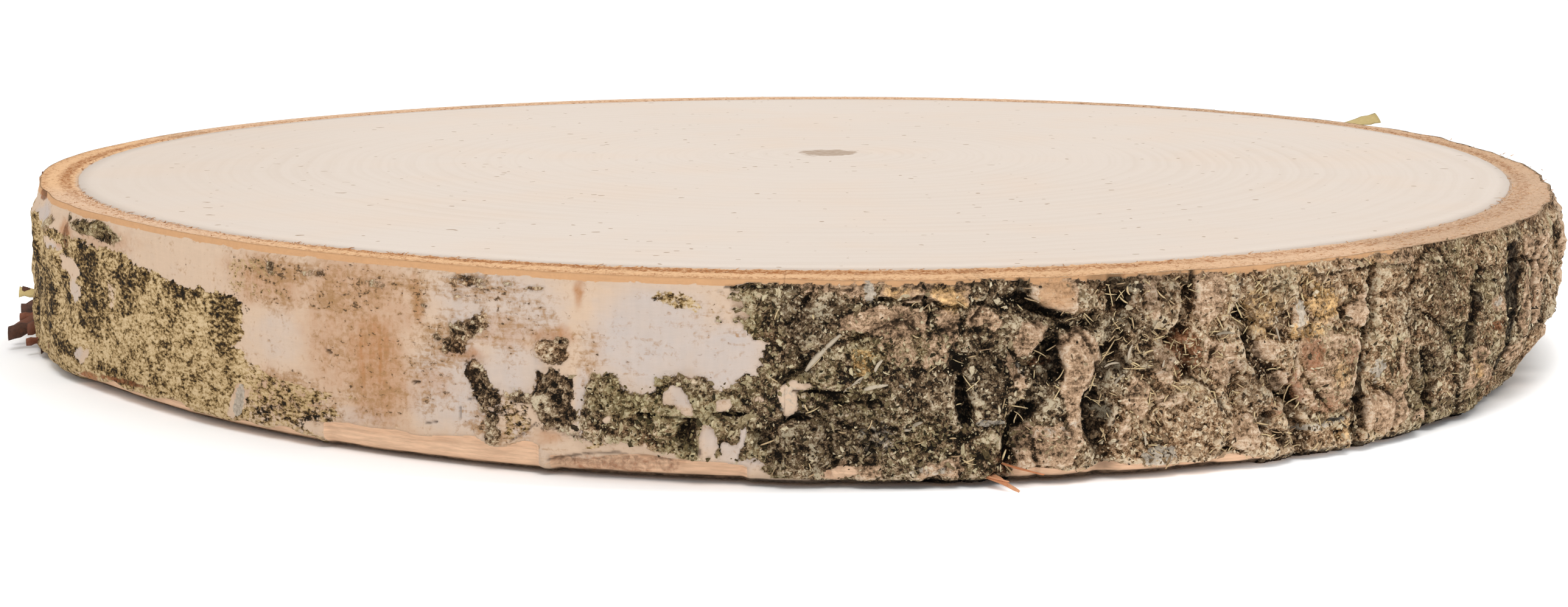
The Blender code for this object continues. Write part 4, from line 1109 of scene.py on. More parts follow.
def seen(red, green, blue):
    """A colour as the studio's light shows it, from 0 to 255, turned into the shader's own."""
    parts = [c / 255.0 for c in (red, green, blue)]
    linear = [c / 12.92 if c <= 0.04045 else ((c + 0.055) / 1.055) ** 2.4 for c in parts]
    return tuple(c / LIGHT for c in linear) + (1.0,)


def colour_property(name, description, *shown):
    return bpy.props.FloatVectorProperty(
        name=name, description=description, subtype="COLOR", size=4, min=0.0, max=1.0, default=seen(*shown)
    )


class SliceColours(bpy.types.PropertyGroup):
    """Colours of the slice's finishes."""

    wood: colour_property("Wood", "Sawn end grain of the wood", 229, 215, 202)
    ring: colour_property("Growth ring", "Faint lines of the growth rings", 212, 193, 175)
    pith: colour_property("Pith", "Star of pith in the middle", 164, 136, 108)
    inner_bark: colour_property("Inner bark", "Sawn ring of inner bark", 246, 200, 154)
    inner_dark: colour_property("Inner bark, dark", "Torn band between wood and bark", 176, 114, 66)
    bare: colour_property("Bare bark", "Inner bark laid bare along the edges", 244, 204, 170)
    paper: colour_property("Paper", "Papery outer bark", 213, 186, 161)
    paper_clean: colour_property("Clean paper", "Clean white paper", 199, 186, 178)
    stain: colour_property("Stain", "Orange-tan stains", 180, 126, 82)
    grime: colour_property("Grime", "Brown mottles on the paper", 166, 128, 88)
    speck: colour_property("Speck", "Dark specks on the paper", 78, 60, 44)
    lichen: colour_property("Lichen", "Pale yellow lichen", 196, 168, 122)
    olive: colour_property("Olive", "Dark olive growth among the lichen", 84, 64, 38)
    # The crust's darkest and lightest colours end its tone, which is partly painted shade in pits and
    # painted highlight on tips
    crust_black: colour_property("Crust, black", "Pits of the crust", 30, 25, 19)
    crust_dark: colour_property("Crust, dark", "Dark crust", 90, 71, 52)
    crust_brown: colour_property("Crust, brown", "Lighter crust", 168, 134, 102)
    crust_light: colour_property("Crust, light", "Tips of the crust", 214, 198, 168)
    crust_green: colour_property("Crust, green", "Mossy tips of the crust", 150, 138, 84)
    plate: colour_property("Cork plate", "Bare plates of cork", 208, 174, 142)
    rust: colour_property("Rust", "Red-brown patches", 136, 84, 54)
    gold: colour_property("Gold", "Golden lichen", 212, 168, 106)
    pale: colour_property("Pale", "Pale grey crusts of lichen", 204, 191, 173)
    straw: colour_property("Straw", "Threads of straw and dry moss", 228, 204, 156)
    shred: colour_property("Shred", "Red-brown shreds of bark", 140, 84, 60)
    stick: colour_property("Stick", "Grey sticks and scales", 206, 190, 166)


class SliceSizes(bpy.types.PropertyGroup):
    """How much clings to the bark."""

    crumbs: bpy.props.IntProperty(
        name="Crumbs", description="Crumbs of crust on the cracked bark", default=22000, min=0
    )
    straws: bpy.props.IntProperty(
        name="Straws", description="Threads of straw and moss in the furrows", default=700, min=0
    )
    fuzz: bpy.props.IntProperty(
        name="Saw fuzz", description="Torn fibres along the sawn inner bark", default=2200, min=0
    )
    crumb_size: bpy.props.FloatProperty(
        name="Crumb size", description="Width of a middling crumb", default=0.20 * MM, unit="LENGTH"
    )


def colours():
    """The slice's colours, by name, as tuples."""
    kept = bpy.context.scene.slice_colours
    return SimpleNamespace(**{name: tuple(getattr(kept, name)) for name in SliceColours.__annotations__})


def about(noise, strength):
    """A noise moved to lie evenly round nought, times a strength."""
    return (noise - 0.5) * strength


def wood_finish():
    """End grain: faint growth rings round the pith, fine saw marks, and the grey-brown star of pith."""
    c = colours()
    s = Shader("birch_end_grain", 0.72, 0.25)
    growth = s.number("growth")
    wander = s.noise(0.08, 2.0)
    line = {"noise_dimensions": "1D"}
    uneven = s.node("ShaderNodeTexNoise", line, W=growth, Scale=0.11, Detail=2.0)
    turns = (growth + wander * 2.0 + uneven * 5.0) * (2.0 * math.pi / 1.85)
    ring = (turns.math("SINE") * 0.5 + 0.5) * s.noise(0.05, 1.0).between(0.2, 0.7)
    saw = s.noise(1.0, 3.0, 0.6, at=s.stretched(0.16, 2.4, 1.0, 0.05))
    cloudy = s.noise(0.09, 3.0)
    lines = s.node("ShaderNodeTexNoise", line, W=growth + wander, Scale=1.7, Detail=3.0)
    colour = s.mix(ring * 0.20 + about(lines, 0.5), c.wood, c.ring)
    colour = s.mix(saw.between(0.52, 0.8) * 0.30, colour, c.ring)
    colour = s.mix(cloudy.between(0.4, 0.75) * 0.10, colour, c.inner_bark)
    pores = s.noise(5.0, 1.0).between(0.70, 0.78)
    colour = s.mix(pores * 0.16, colour, c.pith)
    colour = s.mix(s.noise(1.3, 0.0).between(0.83, 0.85) * 0.8, colour, c.pith)
    left = 1.0 - s.node("ShaderNodeSeparateXYZ", {}, s.place).between(-68.0, -30.0)
    colour = s.mix(left * 0.3, colour, c.ring)
    star = 1.0 - (s.distance((*PITH, THICKNESS)) / 3.1 + s.noise(0.9, 3.0, 0.6) * 1.2).between(1.36, 1.6)
    colour = s.mix(star * (0.35 + 0.7 * s.noise(1.6, 2.0)), colour, c.pith)
    return s.finish(colour, saw * 0.04 + s.noise(3.0, 2.0) * 0.02, 0.6)


def bark_finish():
    """All of the bark, by what the mesh keeps: paper, stains, lichen, crust, plates and sawn inner bark,
    with painted shade in pits, cracks and slots and under the lower edge, and painted highlight on tips.
    """
    c = colours()
    s = Shader("birch_bark", 0.9, 0.07)
    lichen, olive, crust = s.attribute("growth")
    clean, stain, grime = s.attribute("paper")
    plate, rust, gold = s.attribute("patches")
    orange, pale, green = s.attribute("marks")
    tip_and_pit_shade, painted_shade, sawn = s.attribute("relief")
    ring, dark, rind = s.attribute("cut")
    coarse = s.noise(0.45, 3.0, 0.6)
    fine = s.noise(2.0, 4.0, 0.65, distortion=0.5)
    grain = s.noise(4.4, 4.0, 0.65, distortion=0.8)
    level = s.noise(1.0, 4.0, 0.65, at=s.stretched(0.5, 0.5, 3.4))
    upright = s.noise(1.0, 3.0, 0.6, at=s.stretched(2.2, 2.2, 0.25))
    dashes = s.noise(1.0, 3.0, 0.7, at=s.stretched(1.5, 1.5, 3.8))
    fibres = s.noise(1.0, 3.0, 0.7, at=s.stretched(0.4, 0.4, 5.0))

    colour = s.mix(clean * 0.85 + about(coarse, 0.8), c.paper, c.paper_clean)
    colour = s.shade(colour, 0.86 + level * 0.15 + upright * 0.11)
    wash = stain * (upright * 0.8 + coarse * 0.6 + fine * 0.9 - 0.36)
    colour = s.mix(wash, colour, c.stain)
    mottle = (level * 0.40 + fine * 0.60 + grime * 0.19 + about(coarse, 0.3)).between(0.52, 0.76)
    colour = s.mix(mottle * 0.9, colour, c.grime)
    dots = (dashes * 0.55 + fine * 0.45 + grime * 0.105).between(0.625, 0.70)
    colour = s.mix(dots * 0.9, colour, c.speck)

    clumps = s.noise(1.0, 3.0, 0.6, at=s.stretched(0.8, 0.8, 1.45), distortion=0.6)
    specks = s.noise(1.0, 4.0, 0.7, at=s.stretched(2.4, 2.4, 4.4))
    mosaic = about(specks, 2.5) + about(clumps, 1.7) + olive * 0.62 + 0.18
    tufts = s.ramp(mosaic, (
        (0.06, seen(216, 190, 150)), (0.30, c.lichen), (0.46, seen(170, 143, 101)),
        (0.58, seen(134, 108, 68)), (0.72, c.olive), (0.98, c.crust_black),
    ))
    colour = s.mix((lichen + about(fine, 1.0) + about(specks, 1.0)).between(0.34, 0.62), colour, tufts)

    # The crust's tone: random grain and the crust's darkness, with painted shade in pits and painted
    # highlight on tips
    tone = about(tip_and_pit_shade, 0.85) + about(fine, 1.6) + about(grain, 2.3) + about(coarse, 1.8)
    tone = tone - about(dark, 0.16) + 0.47
    dull = s.ramp(tone, (
        (0.10, c.crust_black), (0.38, c.crust_dark), (0.56, seen(136, 111, 84)),
        (0.76, seen(176, 155, 126)), (0.96, c.crust_light),
    ))
    warm = s.ramp(tone, (
        (0.04, seen(50, 36, 24)), (0.30, seen(124, 94, 66)), (0.50, c.crust_brown),
        (0.72, seen(208, 176, 140)), (0.95, seen(234, 212, 180)),
    ))
    mossy = s.ramp(tone, (
        (0.10, seen(34, 28, 16)), (0.40, seen(96, 80, 48)), (0.62, seen(144, 124, 78)),
        (0.90, c.crust_green),
    ))
    crusty = s.mix((dark + about(coarse, 1.4)).between(0.25, 0.75), warm, dull)
    crusty = s.mix((green + about(coarse, 1.6)).between(0.35, 0.95) * 0.5, crusty, mossy)
    colour = s.mix((crust + about(fine, 1.0) + about(grain, 0.7)).between(0.36, 0.60), colour, crusty)

    veins = 1.0 - (level - 0.5).math("ABSOLUTE").between(0.0, 0.04)
    # The plates' tone: random grain and the crust's darkness, with painted shade in pits and painted
    # highlight on tips
    plate_tone_and_shade = about(level, 1.0) + about(grain, 1.8) + about(fine, 1.5) + about(tip_and_pit_shade, 0.9)
    plate_tone_and_shade = plate_tone_and_shade - about(dark, 0.25) + 0.47
    bark_plate = s.ramp(plate_tone_and_shade, (
        (0.08, seen(70, 54, 40)), (0.32, seen(132, 106, 82)), (0.54, seen(176, 144, 114)),
        (0.78, c.plate), (1.0, seen(230, 204, 176)),
    ))
    bark_plate = s.shade(bark_plate, 1.0 - veins * 0.22)
    colour = s.mix((plate + about(fine, 1.5) + about(tip_and_pit_shade, 0.8)).between(0.28, 0.76), colour, bark_plate)
    raw = s.mix(fibres.between(0.3, 0.7), s.shade(c.bare, 0.80), s.shade(c.bare, 1.06))
    upper = s.node("ShaderNodeSeparateXYZ", {}, s.place, output=2).between(12.4, 13.2)
    raw = s.mix(upper, raw, s.shade(seen(209, 162, 119), 0.78 + fibres * 0.18 + fine * 0.26))
    colour = s.mix((orange + about(fine, 0.3)).between(0.35, 0.65), colour, raw)
    # Patches: where their edges fade, their strength, their colour, and how the crust's tone, with its
    # painted pit shade and tip highlight, shades it
    for patch, from_to, most, shown, base, gain in (
        (gold, (0.2, 0.9), 0.62, c.gold, 0.10, 1.45),
        (rust, (0.2, 0.9), 0.8, c.rust, 0.10, 1.45),
        (pale, (0.35, 0.7), 0.9, c.pale, 0.52, 0.62),
    ):
        cover = (patch + about(fine, 1.4)).between(*from_to) * most
        colour = s.mix(cover, colour, s.shade(shown, tone * gain + base))
    # Painted shade: furrows, cracks and slots darkened towards black, the darker traced zones, and the
    # painted shadow under the lower edge
    colour = s.shade(colour, 0.97 - painted_shade * (1.18 - fine * 0.58))

    band = ring.between(0.05, 0.24) * (1.0 - ring.between(0.36, 0.62))
    outer = ring.between(0.66, 0.92) * 0.35
    torn = about(fine, 1.8) + about(grain, 1.4) + band * dark * 0.62 + outer * dark + 0.14
    fresh = s.mix(dark.between(0.35, 0.75), seen(240, 203, 170), c.inner_bark)
    cut = s.mix(torn.between(0.10, 0.95), fresh, c.inner_dark)
    cut = s.mix((1.0 - ring.between(0.0, 0.12)) * 0.5, cut, c.ring)
    cut = s.mix((rind + about(fine, 0.6)).between(0.4, 0.75), cut, warm)
    colour = s.mix(sawn.between(0.3, 0.7), colour, cut)
    height = crust * (1.0 - plate * 0.6) * (fine * 0.30 + grain * 0.14)
    height = height + lichen * (fine * 0.14 + grain * 0.06) + plate * (level * 0.10 + grain * 0.06)
    height = height + sawn * (fine * 0.26 + grain * 0.12) + level * 0.03 + orange * fibres * 0.05
    return s.finish(colour, height, 0.85)


def crumb_finish():
    """Crumbs from near black to pale, each by its own tint and its own greenness."""
    c = colours()
    s = Shader("bark_crumb", 0.9, 0.1)
    tint, dark, green = s.attribute("kind")
    grain = s.noise(5.0, 3.0, 0.7)
    tone = tint + about(grain, 0.9)
    dull = s.ramp(tone, (
        (0.05, c.crust_black), (0.35, c.crust_dark), (0.6, seen(138, 123, 96)), (1.0, c.crust_light),
    ))
    warm = s.ramp(tone, (
        (0.0, seen(62, 49, 37)), (0.3, seen(130, 106, 81)), (0.6, seen(180, 153, 122)),
        (1.0, seen(230, 213, 184)),
    ))
    colour = s.mix(dark, warm, dull)
    colour = s.mix(green * 0.5, colour, s.shade(c.crust_green, 0.2 + tone))
    return s.finish(colour, grain * 0.06)


def fibre_finish(name, base, dark):
    """Threads and flakes, each by its own tint, lighter and darker along their length."""
    s = Shader(name, 0.7, 0.3)
    tint = s.number("tint")
    streaks = s.noise(3.0, 3.0, 0.6)
    colour = s.mix(tint + about(streaks, 0.6), dark, base)
    return s.finish(colour, s.noise(7.0, 2.0) * 0.04)


def side_shade(angle, height, side, on):
    """(how far each point stands out from those around it, read as painted shade in pits and painted
    highlight on tips; how dark it is painted as shade in its furrows, cracks and slots and under the lower
    edge, and in the darker traced zones), from 0 to 1.
    """
    a = from_front(angle)
    tip_and_pit_shade = np.clip(0.5 + (side - blurred(side, 3)) / 0.30, 0, 1) * 0.6
    tip_and_pit_shade = tip_and_pit_shade + 0.4 * np.clip(0.5 + (side - blurred(side, 9)) / 0.9, 0, 1)
    tip_and_pit_shade = tip_and_pit_shade - on["crust"] * line_at(a, SCAB_SHADE)
    painted_shade = 0.62 * smooth(furrow_depth(angle, height) / 0.7 - 0.3)
    painted_shade = np.maximum(painted_shade, 0.2 * craze(angle, height) * on["crust"] * (1 - on["plate"]))
    painted_shade = np.maximum(painted_shade, np.maximum(0.92 * on["slot"], on["zone"]))
    # Painted shadow under the lower edge, up to a height that changes by angle
    foot = line_at(a, FOOT_SHADE) + 0.05 * noise(along_rim(angle), 0 * angle, 1.5, 9, 509)
    painted_shade = np.maximum(painted_shade, 0.92 * (1.0 - smooth((height - foot + 0.12) / 0.14)))
    return tip_and_pit_shade, painted_shade


def bark_stretch(name, start, end, columns, side_rows):
    """One closed stretch of bark: under, up its rough side, over its sawn top, and down its hidden back."""
    angles = np.linspace(start, end, columns + 1)[None, :]
    heights = np.linspace(0.0, THICKNESS, side_rows + 1)[:, None]
    side_angles, side_heights = np.broadcast_arrays(angles, heights)
    on = ground(side_angles, side_heights)
    side = bark_radius(side_angles, side_heights, on)
    calm = 0.92 * smooth((side_heights - 13.9) / 1.0)
    side = side * (1 - calm) + blurred(side, 12) * calm
    tip_and_pit_shade, painted_shade = side_shade(side_angles, side_heights, side, on)
    along = along_rim(side_angles[0])[None, :]
    inner = wood_radius(angles) + 0.10 + 0.10 * fractal(along, 0 * along, 0.8, 9.0, 3, 501)
    side = np.maximum(side, inner + LEAST_BARK)

    def sawn_rows(rim, shares, seed):
        """(radius, lift) over a sawn face of the bark, with a groove beside the wood."""
        radius = rim * (1 - shares) + inner * shares
        deep = radius - inner
        rough = fractal(along + 0 * radius, radius, 0.8, 0.5, 4, seed, 0.7)
        groove = 0.2 * (1 - smooth(deep / 0.7)) * (0.6 + 0.4 * rough)
        edge = smooth((rim - radius) / 0.5)
        return radius, edge * (0.07 * rough) - groove

    top_shares = np.linspace(0, 1, TOP_ROWS + 1)[1:, None]
    bottom_shares = np.linspace(1, 0, BOTTOM_ROWS + 1)[:-1, None]
    top_radius, top_lift = sawn_rows(side[-1:], top_shares, 511)
    bottom_radius, bottom_lift = sawn_rows(side[:1], bottom_shares, 521)
    back = inner - HIDDEN_BACK
    rows = [
        (bottom_radius, np.clip(-bottom_lift, 0.0, 1.0) * bottom_shares),
        (side, side_heights),
        (top_radius, THICKNESS + np.minimum(top_lift, 0.12)),
        (back, 0 * angles + THICKNESS - HIDDEN_DROP),
        (back, 0 * angles + HIDDEN_DROP),
        (bottom_radius[:1], np.clip(-bottom_lift[:1], 0.0, 1.0)),
    ]
    points = np.concatenate([rim_point(angles, r, z) for r, z in rows])
    piece = flat_grid(name, columns, len(points) - 1)
    lay_out(piece, points)

    def of_rows(on_bottom, on_side, on_top, hidden=0.0):
        """A value for each point: on the lower sawn face, the side, the upper sawn face and the back."""
        counts = BOTTOM_ROWS, side_rows + 1, TOP_ROWS, HIDDEN_ROWS
        parts = zip(counts, (on_bottom, on_side, on_top, hidden))
        return np.concatenate([np.broadcast_to(v, (n, columns + 1)) for n, v in parts]).reshape(-1)

    def three(*names):
        """Three of the ground's values, carried on from the side over the sawn faces."""
        return np.stack([of_rows(on[n][:1], on[n], on[n][-1:]) for n in names], -1)

    write(piece, "growth", three("lichen", "olive", "crust"))
    write(piece, "paper", three("clean", "stain", "grime"))
    write(piece, "patches", three("plate", "rust", "gold"))
    write(piece, "marks", three("orange", "pale", "green"))
    # Painted shade and highlight of pits and tips, painted shade of cracks and the foot, and where the sawn
    # faces are
    relief = of_rows(0.5, tip_and_pit_shade, 0.5, 0.5), of_rows(0.0, painted_shade, 0.0), of_rows(1.0, 0.0, 1.0, 1.0)
    write(piece, "relief", np.stack(relief, -1))
    width = side[-1:] - inner
    ring = of_rows((bottom_radius - inner) / width, 0.0, (top_radius - inner) / width)
    torn = line_at(from_front(angles), TORN_SHARE)
    dark = of_rows(torn, on["dark"], torn)
    cork = corky(angles)
    thick = 0.25 + 0.35 * cork + 0.15 * fractal(along, 0 * along, 2.0, 9.0, 2, 531)
    low_rind = (1 - smooth((side[:1] - bottom_radius) / thick)) * cork
    top_rind = (1 - smooth((side[-1:] - top_radius) / thick)) * cork
    write(piece, "cut", np.stack([ring, dark, of_rows(low_rind, 0.0, top_rind)], -1))
    closed_up(piece)
    return piece


def wood_disc():
    """The wood: a disc laid out on rays from the pith, so that its rings run parallel to its edge."""
    turns = np.linspace(0.0, 360.0, WOOD_COLUMNS + 1)
    bark_angles = np.linspace(-180.0, 180.0, 1441)
    radius = wood_radius(bark_angles)
    x = radius * np.sin(np.radians(bark_angles)) - PITH[0]
    y = -radius * np.cos(np.radians(bark_angles)) - PITH[1]
    bearings = np.degrees(np.unwrap(np.arctan2(x, -y)))
    turned = np.radians(turns + bearings[0])
    reach = np.interp(turns, bearings - bearings[0], np.hypot(x, y))
    reach = reach + 0.06 * fractal(along_rim(turns), 0 * turns, 0.9, 9.0, 3, 601)
    shares = np.linspace(0.0, 1.0, WOOD_RINGS + 1)[:, None]

    def face(height, shares):
        out = reach[None, :] * shares
        x, y = PITH[0] + out * np.sin(turned), PITH[1] - out * np.cos(turned)
        return np.stack([x, y, height + 0 * out], -1)

    points = np.concatenate([face(0.0, shares), face(THICKNESS, shares[::-1])]) * MM
    piece = flat_grid("wood", WOOD_COLUMNS, len(points) - 1)
    lay_out(piece, points)
    growth = np.concatenate([shares, shares[::-1]]) * WOOD_RADIUS + 0 * turns[None, :]
    write(piece, "growth", growth.reshape(-1))
    closed_up(piece)
    return piece


def unit(vectors):
    """The same directions, each one long."""
    return vectors / np.linalg.norm(vectors, axis=-1, keepdims=True)


def surface_frames(angle, height):
    """(points, outward, sideways, upward) on the finished bark, for things that cling to it."""
    step = 0.25
    turn = math.degrees(step / MEAN_RADIUS)

    def at(a, h):
        return rim_point(a, bark_radius(a, h, ground(a, h)), h)

    point = at(angle, height)
    sideways = at(angle + turn, height) - point
    upward = at(angle, np.minimum(height + step, THICKNESS)) - at(angle, np.maximum(height - step, 0))
    sideways, upward = unit(sideways), unit(upward)
    return point, unit(np.cross(sideways, upward)), sideways, upward


def mesh_piece(name, points, faces):
    """A piece from an array of points in metres and a list of faces."""
    mesh = bpy.data.meshes.new(name)
    mesh.from_pydata(points.tolist(), [], faces)
    mesh.update()
    made = bpy.data.objects.new(name, mesh)
    bpy.context.scene.collection.objects.link(made)
    return made


def chosen_places(rng, count, start, end, low, high, chance):
    """Seeded random (angles, heights) on the bark, kept by the chance that a function gives each."""
    angles, heights = np.zeros(0), np.zeros(0)
    while len(angles) < count:
        a = rng.uniform(start, end, 4 * count)
        h = rng.uniform(low, high, 4 * count)
        kept = rng.uniform(0, 1, 4 * count) < chance(a, h)
        angles, heights = np.append(angles, a[kept]), np.append(heights, h[kept])
    return angles[:count], heights[:count]


def crumbs():
    """Crumbs of crust: one small blunt lump, copied with its own size, turn, dents and tint."""
    deselect_all()
    bpy.ops.mesh.primitive_cone_add(vertices=5, radius1=1.0, radius2=0.0, depth=1.0)
    lump = bpy.context.object
    corners = np.array([v.co for v in lump.data.vertices])
    faces = np.array([p.vertices for p in lump.data.polygons if len(p.vertices) == 3])
    bpy.data.objects.remove(lump)
    sizes = bpy.context.scene.slice_sizes
    rng = np.random.default_rng(CRUMB_SEED)

    def chance(a, h):
        on = ground(a, h)
        dense = on["crust"] * (1 - 0.9 * on["plate"]) * (1 - on["orange"])
        dense = dense * (1 - on["slot"] * np.where(a > 45, 1.0, 0.6))
        return dense * np.where(from_front(a) > 60, 0.35 * (h < THICKNESS - 0.9), 1.0)

    angle, height = chosen_places(rng, sizes.crumbs, *CRUMB_REACH, chance)
    on = ground(angle, height)
    point, outward, sideways, upward = surface_frames(angle, height)
    count = len(angle)
    spin = rng.uniform(0, 2 * math.pi, count)[:, None]
    first = np.cos(spin) * sideways + np.sin(spin) * upward
    second = np.cross(outward, first)
    size = sizes.crumb_size / 2 * rng.lognormal(0.0, 0.4, count)
    shape = np.stack([size * rng.uniform(0.8, 2.6, count), size, size * rng.uniform(0.5, 1.3, count)], -1)
    dents = 1.0 + rng.uniform(-0.45, 0.35, (count, len(corners), 3))
    local = corners[None] * dents * shape[:, None, :]
    made = (point[:, None, :] + local[..., :1] * first[:, None] + local[..., 1:2] * second[:, None]
            + (local[..., 2:] + 0.1 * shape[:, None, 2:]) * outward[:, None])
    index = faces[None] + (np.arange(count) * len(corners))[:, None, None]
    piece = mesh_piece("crust_crumbs", made.reshape(-1, 3), index.reshape(-1, 3).tolist())
    # Each crumb's tint is random, and darker in the slots as painted shade and in the darker traced zones
    tint = np.clip(rng.normal(0.46, 0.32, count) - 0.36 * on["slot"] - 0.3 * on["zone"], 0, 1)
    kind = np.stack([tint, on["dark"], on["green"]], -1)
    write(piece, "kind", np.repeat(kind, len(corners), 0))
    return piece


def tubes(name, centres, across, upright, tint, sides=3):
    """Threads and flakes, each along a path of centres, with half its width and thickness as vectors."""
    count, steps, _ = centres.shape
    corners = np.arange(sides) * 2 * math.pi / sides
    points = (centres[:, :, None] + np.cos(corners)[:, None] * across[:, :, None]
              + np.sin(corners)[:, None] * upright[:, :, None])
    base = (np.arange(count) * steps * sides)[:, None, None]
    step = (np.arange(steps - 1) * sides)[None, :, None]
    k = np.arange(sides)[None, None, :]
    near, after = base + step + k, base + step + (k + 1) % sides
    quads = np.stack([near, after, after + sides, near + sides], -1).reshape(-1, 4)
    first = base[:, 0] + np.arange(sides)[::-1][None]
    last = base[:, 0] + (steps - 1) * sides + np.arange(sides)[None]
    made = mesh_piece(name, points.reshape(-1, 3), quads.tolist() + first.tolist() + last.tolist())
    write(made, "tint", np.repeat(tint, steps * sides))
    closed_up(made)
    return made


def strands(name, paths, widths, tint, sides=3):
    """Thin round threads, with a width at each point of their paths."""
    ahead = unit(np.gradient(paths, axis=1))
    side = unit(np.cross(ahead, UNFOLLOWED))
    other = np.cross(side, ahead)
    half = widths[:, :, None] / 2
    return tubes(name, paths, side * half, other * half, tint, sides)


def shreds(name, rows, seed, copies=1, thin=0.5):
    """Torn strips of bark, bent upwards and round the rim towards their tips, with ragged edges."""
    rng = np.random.default_rng(seed)
    steps = 12
    share = np.linspace(0.0, 1.0, steps)
    centres, across, upright = [], [], []
    for angle, height, width, reach, rise, run, thick, tip in rows:
        for _ in range(copies):
            spread = rng.normal(0.0, 0.28, 4) * (copies > 1)
            at = angle + spread[0] * width * 0.9
            level = height + spread[1] * 1.2
            root = float(rim_radius(at)) - SHRED_ROOT_DEPTH
            length = (SHRED_ROOT_DEPTH + reach) * (1.0 - abs(spread[2]) * 0.8)
            size = (1.0 + (tip - 1.0) * share**1.5) * (1.0 + rng.uniform(-0.22, 0.22, steps))
            bend = share * share
            turned = np.radians(at)
            sideways = np.array([math.cos(turned), math.sin(turned), 0.0])
            centre = rim_point(at, root + length * share, level + (rise + spread[3] * 2.0) * bend)
            roll = rng.uniform(-0.5, 0.5) + 0.9 * bend * rng.choice((-1, 1))
            half = width / copies**0.5 / 2.0 * size
            centres.append(centre + (run * (1 + spread[0])) * bend[:, None] * sideways * MM)
            flat = np.cos(roll)[:, None] * sideways + np.sin(roll)[:, None] * np.array([0, 0, 1.0])
            stand = -np.sin(roll)[:, None] * sideways + np.cos(roll)[:, None] * np.array([0, 0, 1.0])
            across.append(flat * half[:, None] * MM)
            upright.append(stand * (thick * thin / 2.0 * size)[:, None] * MM)
    made = np.array(centres), np.array(across), np.array(upright)
    return tubes(name, *made, rng.uniform(0.1, 1.0, len(centres)), sides=8)


def rim_paths(angle, height, length, turn, lift, bow, steps=5):
    """Paths over the bark from each place, by their length, turn from level, lift of an end and bow."""
    share = np.linspace(-0.5, 0.5, steps)[None, :]
    run = length[:, None] * share
    curve = bow[:, None] * (0.25 - share**2) * 4
    across = run * np.cos(turn[:, None]) - curve * np.sin(turn[:, None])
    upward = run * np.sin(turn[:, None]) + curve * np.cos(turn[:, None])
    a = angle[:, None] + np.degrees(across / MEAN_RADIUS)
    h = np.clip(height[:, None] + upward, 0.15, THICKNESS - 0.1)
    out = bark_radius(a, h)
    level = np.maximum(out.mean(1, keepdims=True), out.max(1, keepdims=True) - 0.35)
    radius = 0.35 * out + 0.65 * level + lift[:, None] * (0.25 + share) + 0.12
    return rim_point(a, radius, h)


class SLICE_OT_wood(bpy.types.Operator):
    """Lays out the wood with its two sawn faces"""

    bl_idname = "birch.wood"
    bl_label = "Wood"

    def execute(self, context):
        dressed(wood_disc(), wood_finish())
        return {"FINISHED"}


class SLICE_OT_bark(bpy.types.Operator):
    """Models the four stretches of bark"""

    bl_idname = "birch.bark"
    bl_label = "Bark"

    def execute(self, context):
        finish = bark_finish()
        for row in STRETCHES:
            dressed(bark_stretch(*row), finish)
        return {"FINISHED"}


class SLICE_OT_crumbs(bpy.types.Operator):
    """Scatters crumbs of crust over the cracked bark"""

    bl_idname = "birch.crumbs"
    bl_label = "Crumbs"

    def execute(self, context):
        dressed(crumbs(), crumb_finish())
        return {"FINISHED"}


class SLICE_OT_straw(bpy.types.Operator):
    """Lays threads of straw, dry moss and grey sticks in the cracked bark"""

    bl_idname = "birch.straw"
    bl_label = "Straw and sticks"

    def execute(self, context):
        c = colours()
        rng = np.random.default_rng(STRAW_SEED)
        count = context.scene.slice_sizes.straws

        def chance(a, h):
            dense = 0.0
            for strength, at, wide, up, tall in STRAW_TUFTS:
                dense = dense + strength * np.exp(-(((a - at) / wide) ** 2 + ((h - up) / tall) ** 2))
            return np.clip(dense + 0.07, 0, 1) * ground(a, h)["crust"]

        angle, height = chosen_places(rng, count, *STRAW_REACH, chance)
        length = rng.lognormal(math.log(STRAW_LENGTH), 0.42, count)
        turn = rng.normal(0.2, 1.0, count)
        lift = rng.uniform(-0.3, 0.3, count)
        bow = rng.normal(0, 0.05, count)
        paths = rim_paths(angle, height, length, turn, lift, bow)
        widths = rng.uniform(0.07, 0.17, count)[:, None] * np.array([0.6, 1.0, 1.0, 0.9, 0.5]) * MM
        piece = strands("straw", paths, widths, np.clip(rng.normal(0.75, 0.3, count), 0, 1))
        finish = fibre_finish("dry_straw", c.straw, c.crust_brown)
        dressed(piece, finish)

        angle, height, length, tilt, width = np.array(STICKS).T
        lift, bow = np.full_like(angle, 0.3), np.full_like(angle, 0.1)
        paths = rim_paths(angle, height, length, np.radians(tilt), lift, bow, len(STICK_TAPER))
        widths = width[:, None] * np.array(STICK_TAPER) * MM
        piece = strands("grey_sticks", paths, widths, 0.35 + 0.5 * (angle % 1.0), sides=6)
        dressed(piece, fibre_finish("grey_stick", c.stick, seen(104, 92, 76)))
        return {"FINISHED"}


class SLICE_OT_shreds(bpy.types.Operator):
    """Tears shreds of bark, a mossy flake and splinters of inner bark at the rim"""

    bl_idname = "birch.shreds"
    bl_label = "Shreds"

    def execute(self, context):
        c = colours()
        red = fibre_finish("red_brown_shred", c.shred, seen(62, 42, 32))
        dressed(shreds("bark_shreds", BARK_SHREDS, BARK_SHRED_SEED, copies=2, thin=0.7), red)
        moss = fibre_finish("mossy_flake", seen(214, 192, 134), seen(178, 154, 100))
        dressed(shreds("moss_flake", MOSS_SHREDS, MOSS_SHRED_SEED), moss)
        pale = fibre_finish("pale_splinter", seen(236, 178, 136), seen(186, 116, 74))
        dressed(shreds("splinters", SPLINTERS, SPLINTER_SEED, copies=2, thin=0.3), pale)
        return {"FINISHED"}


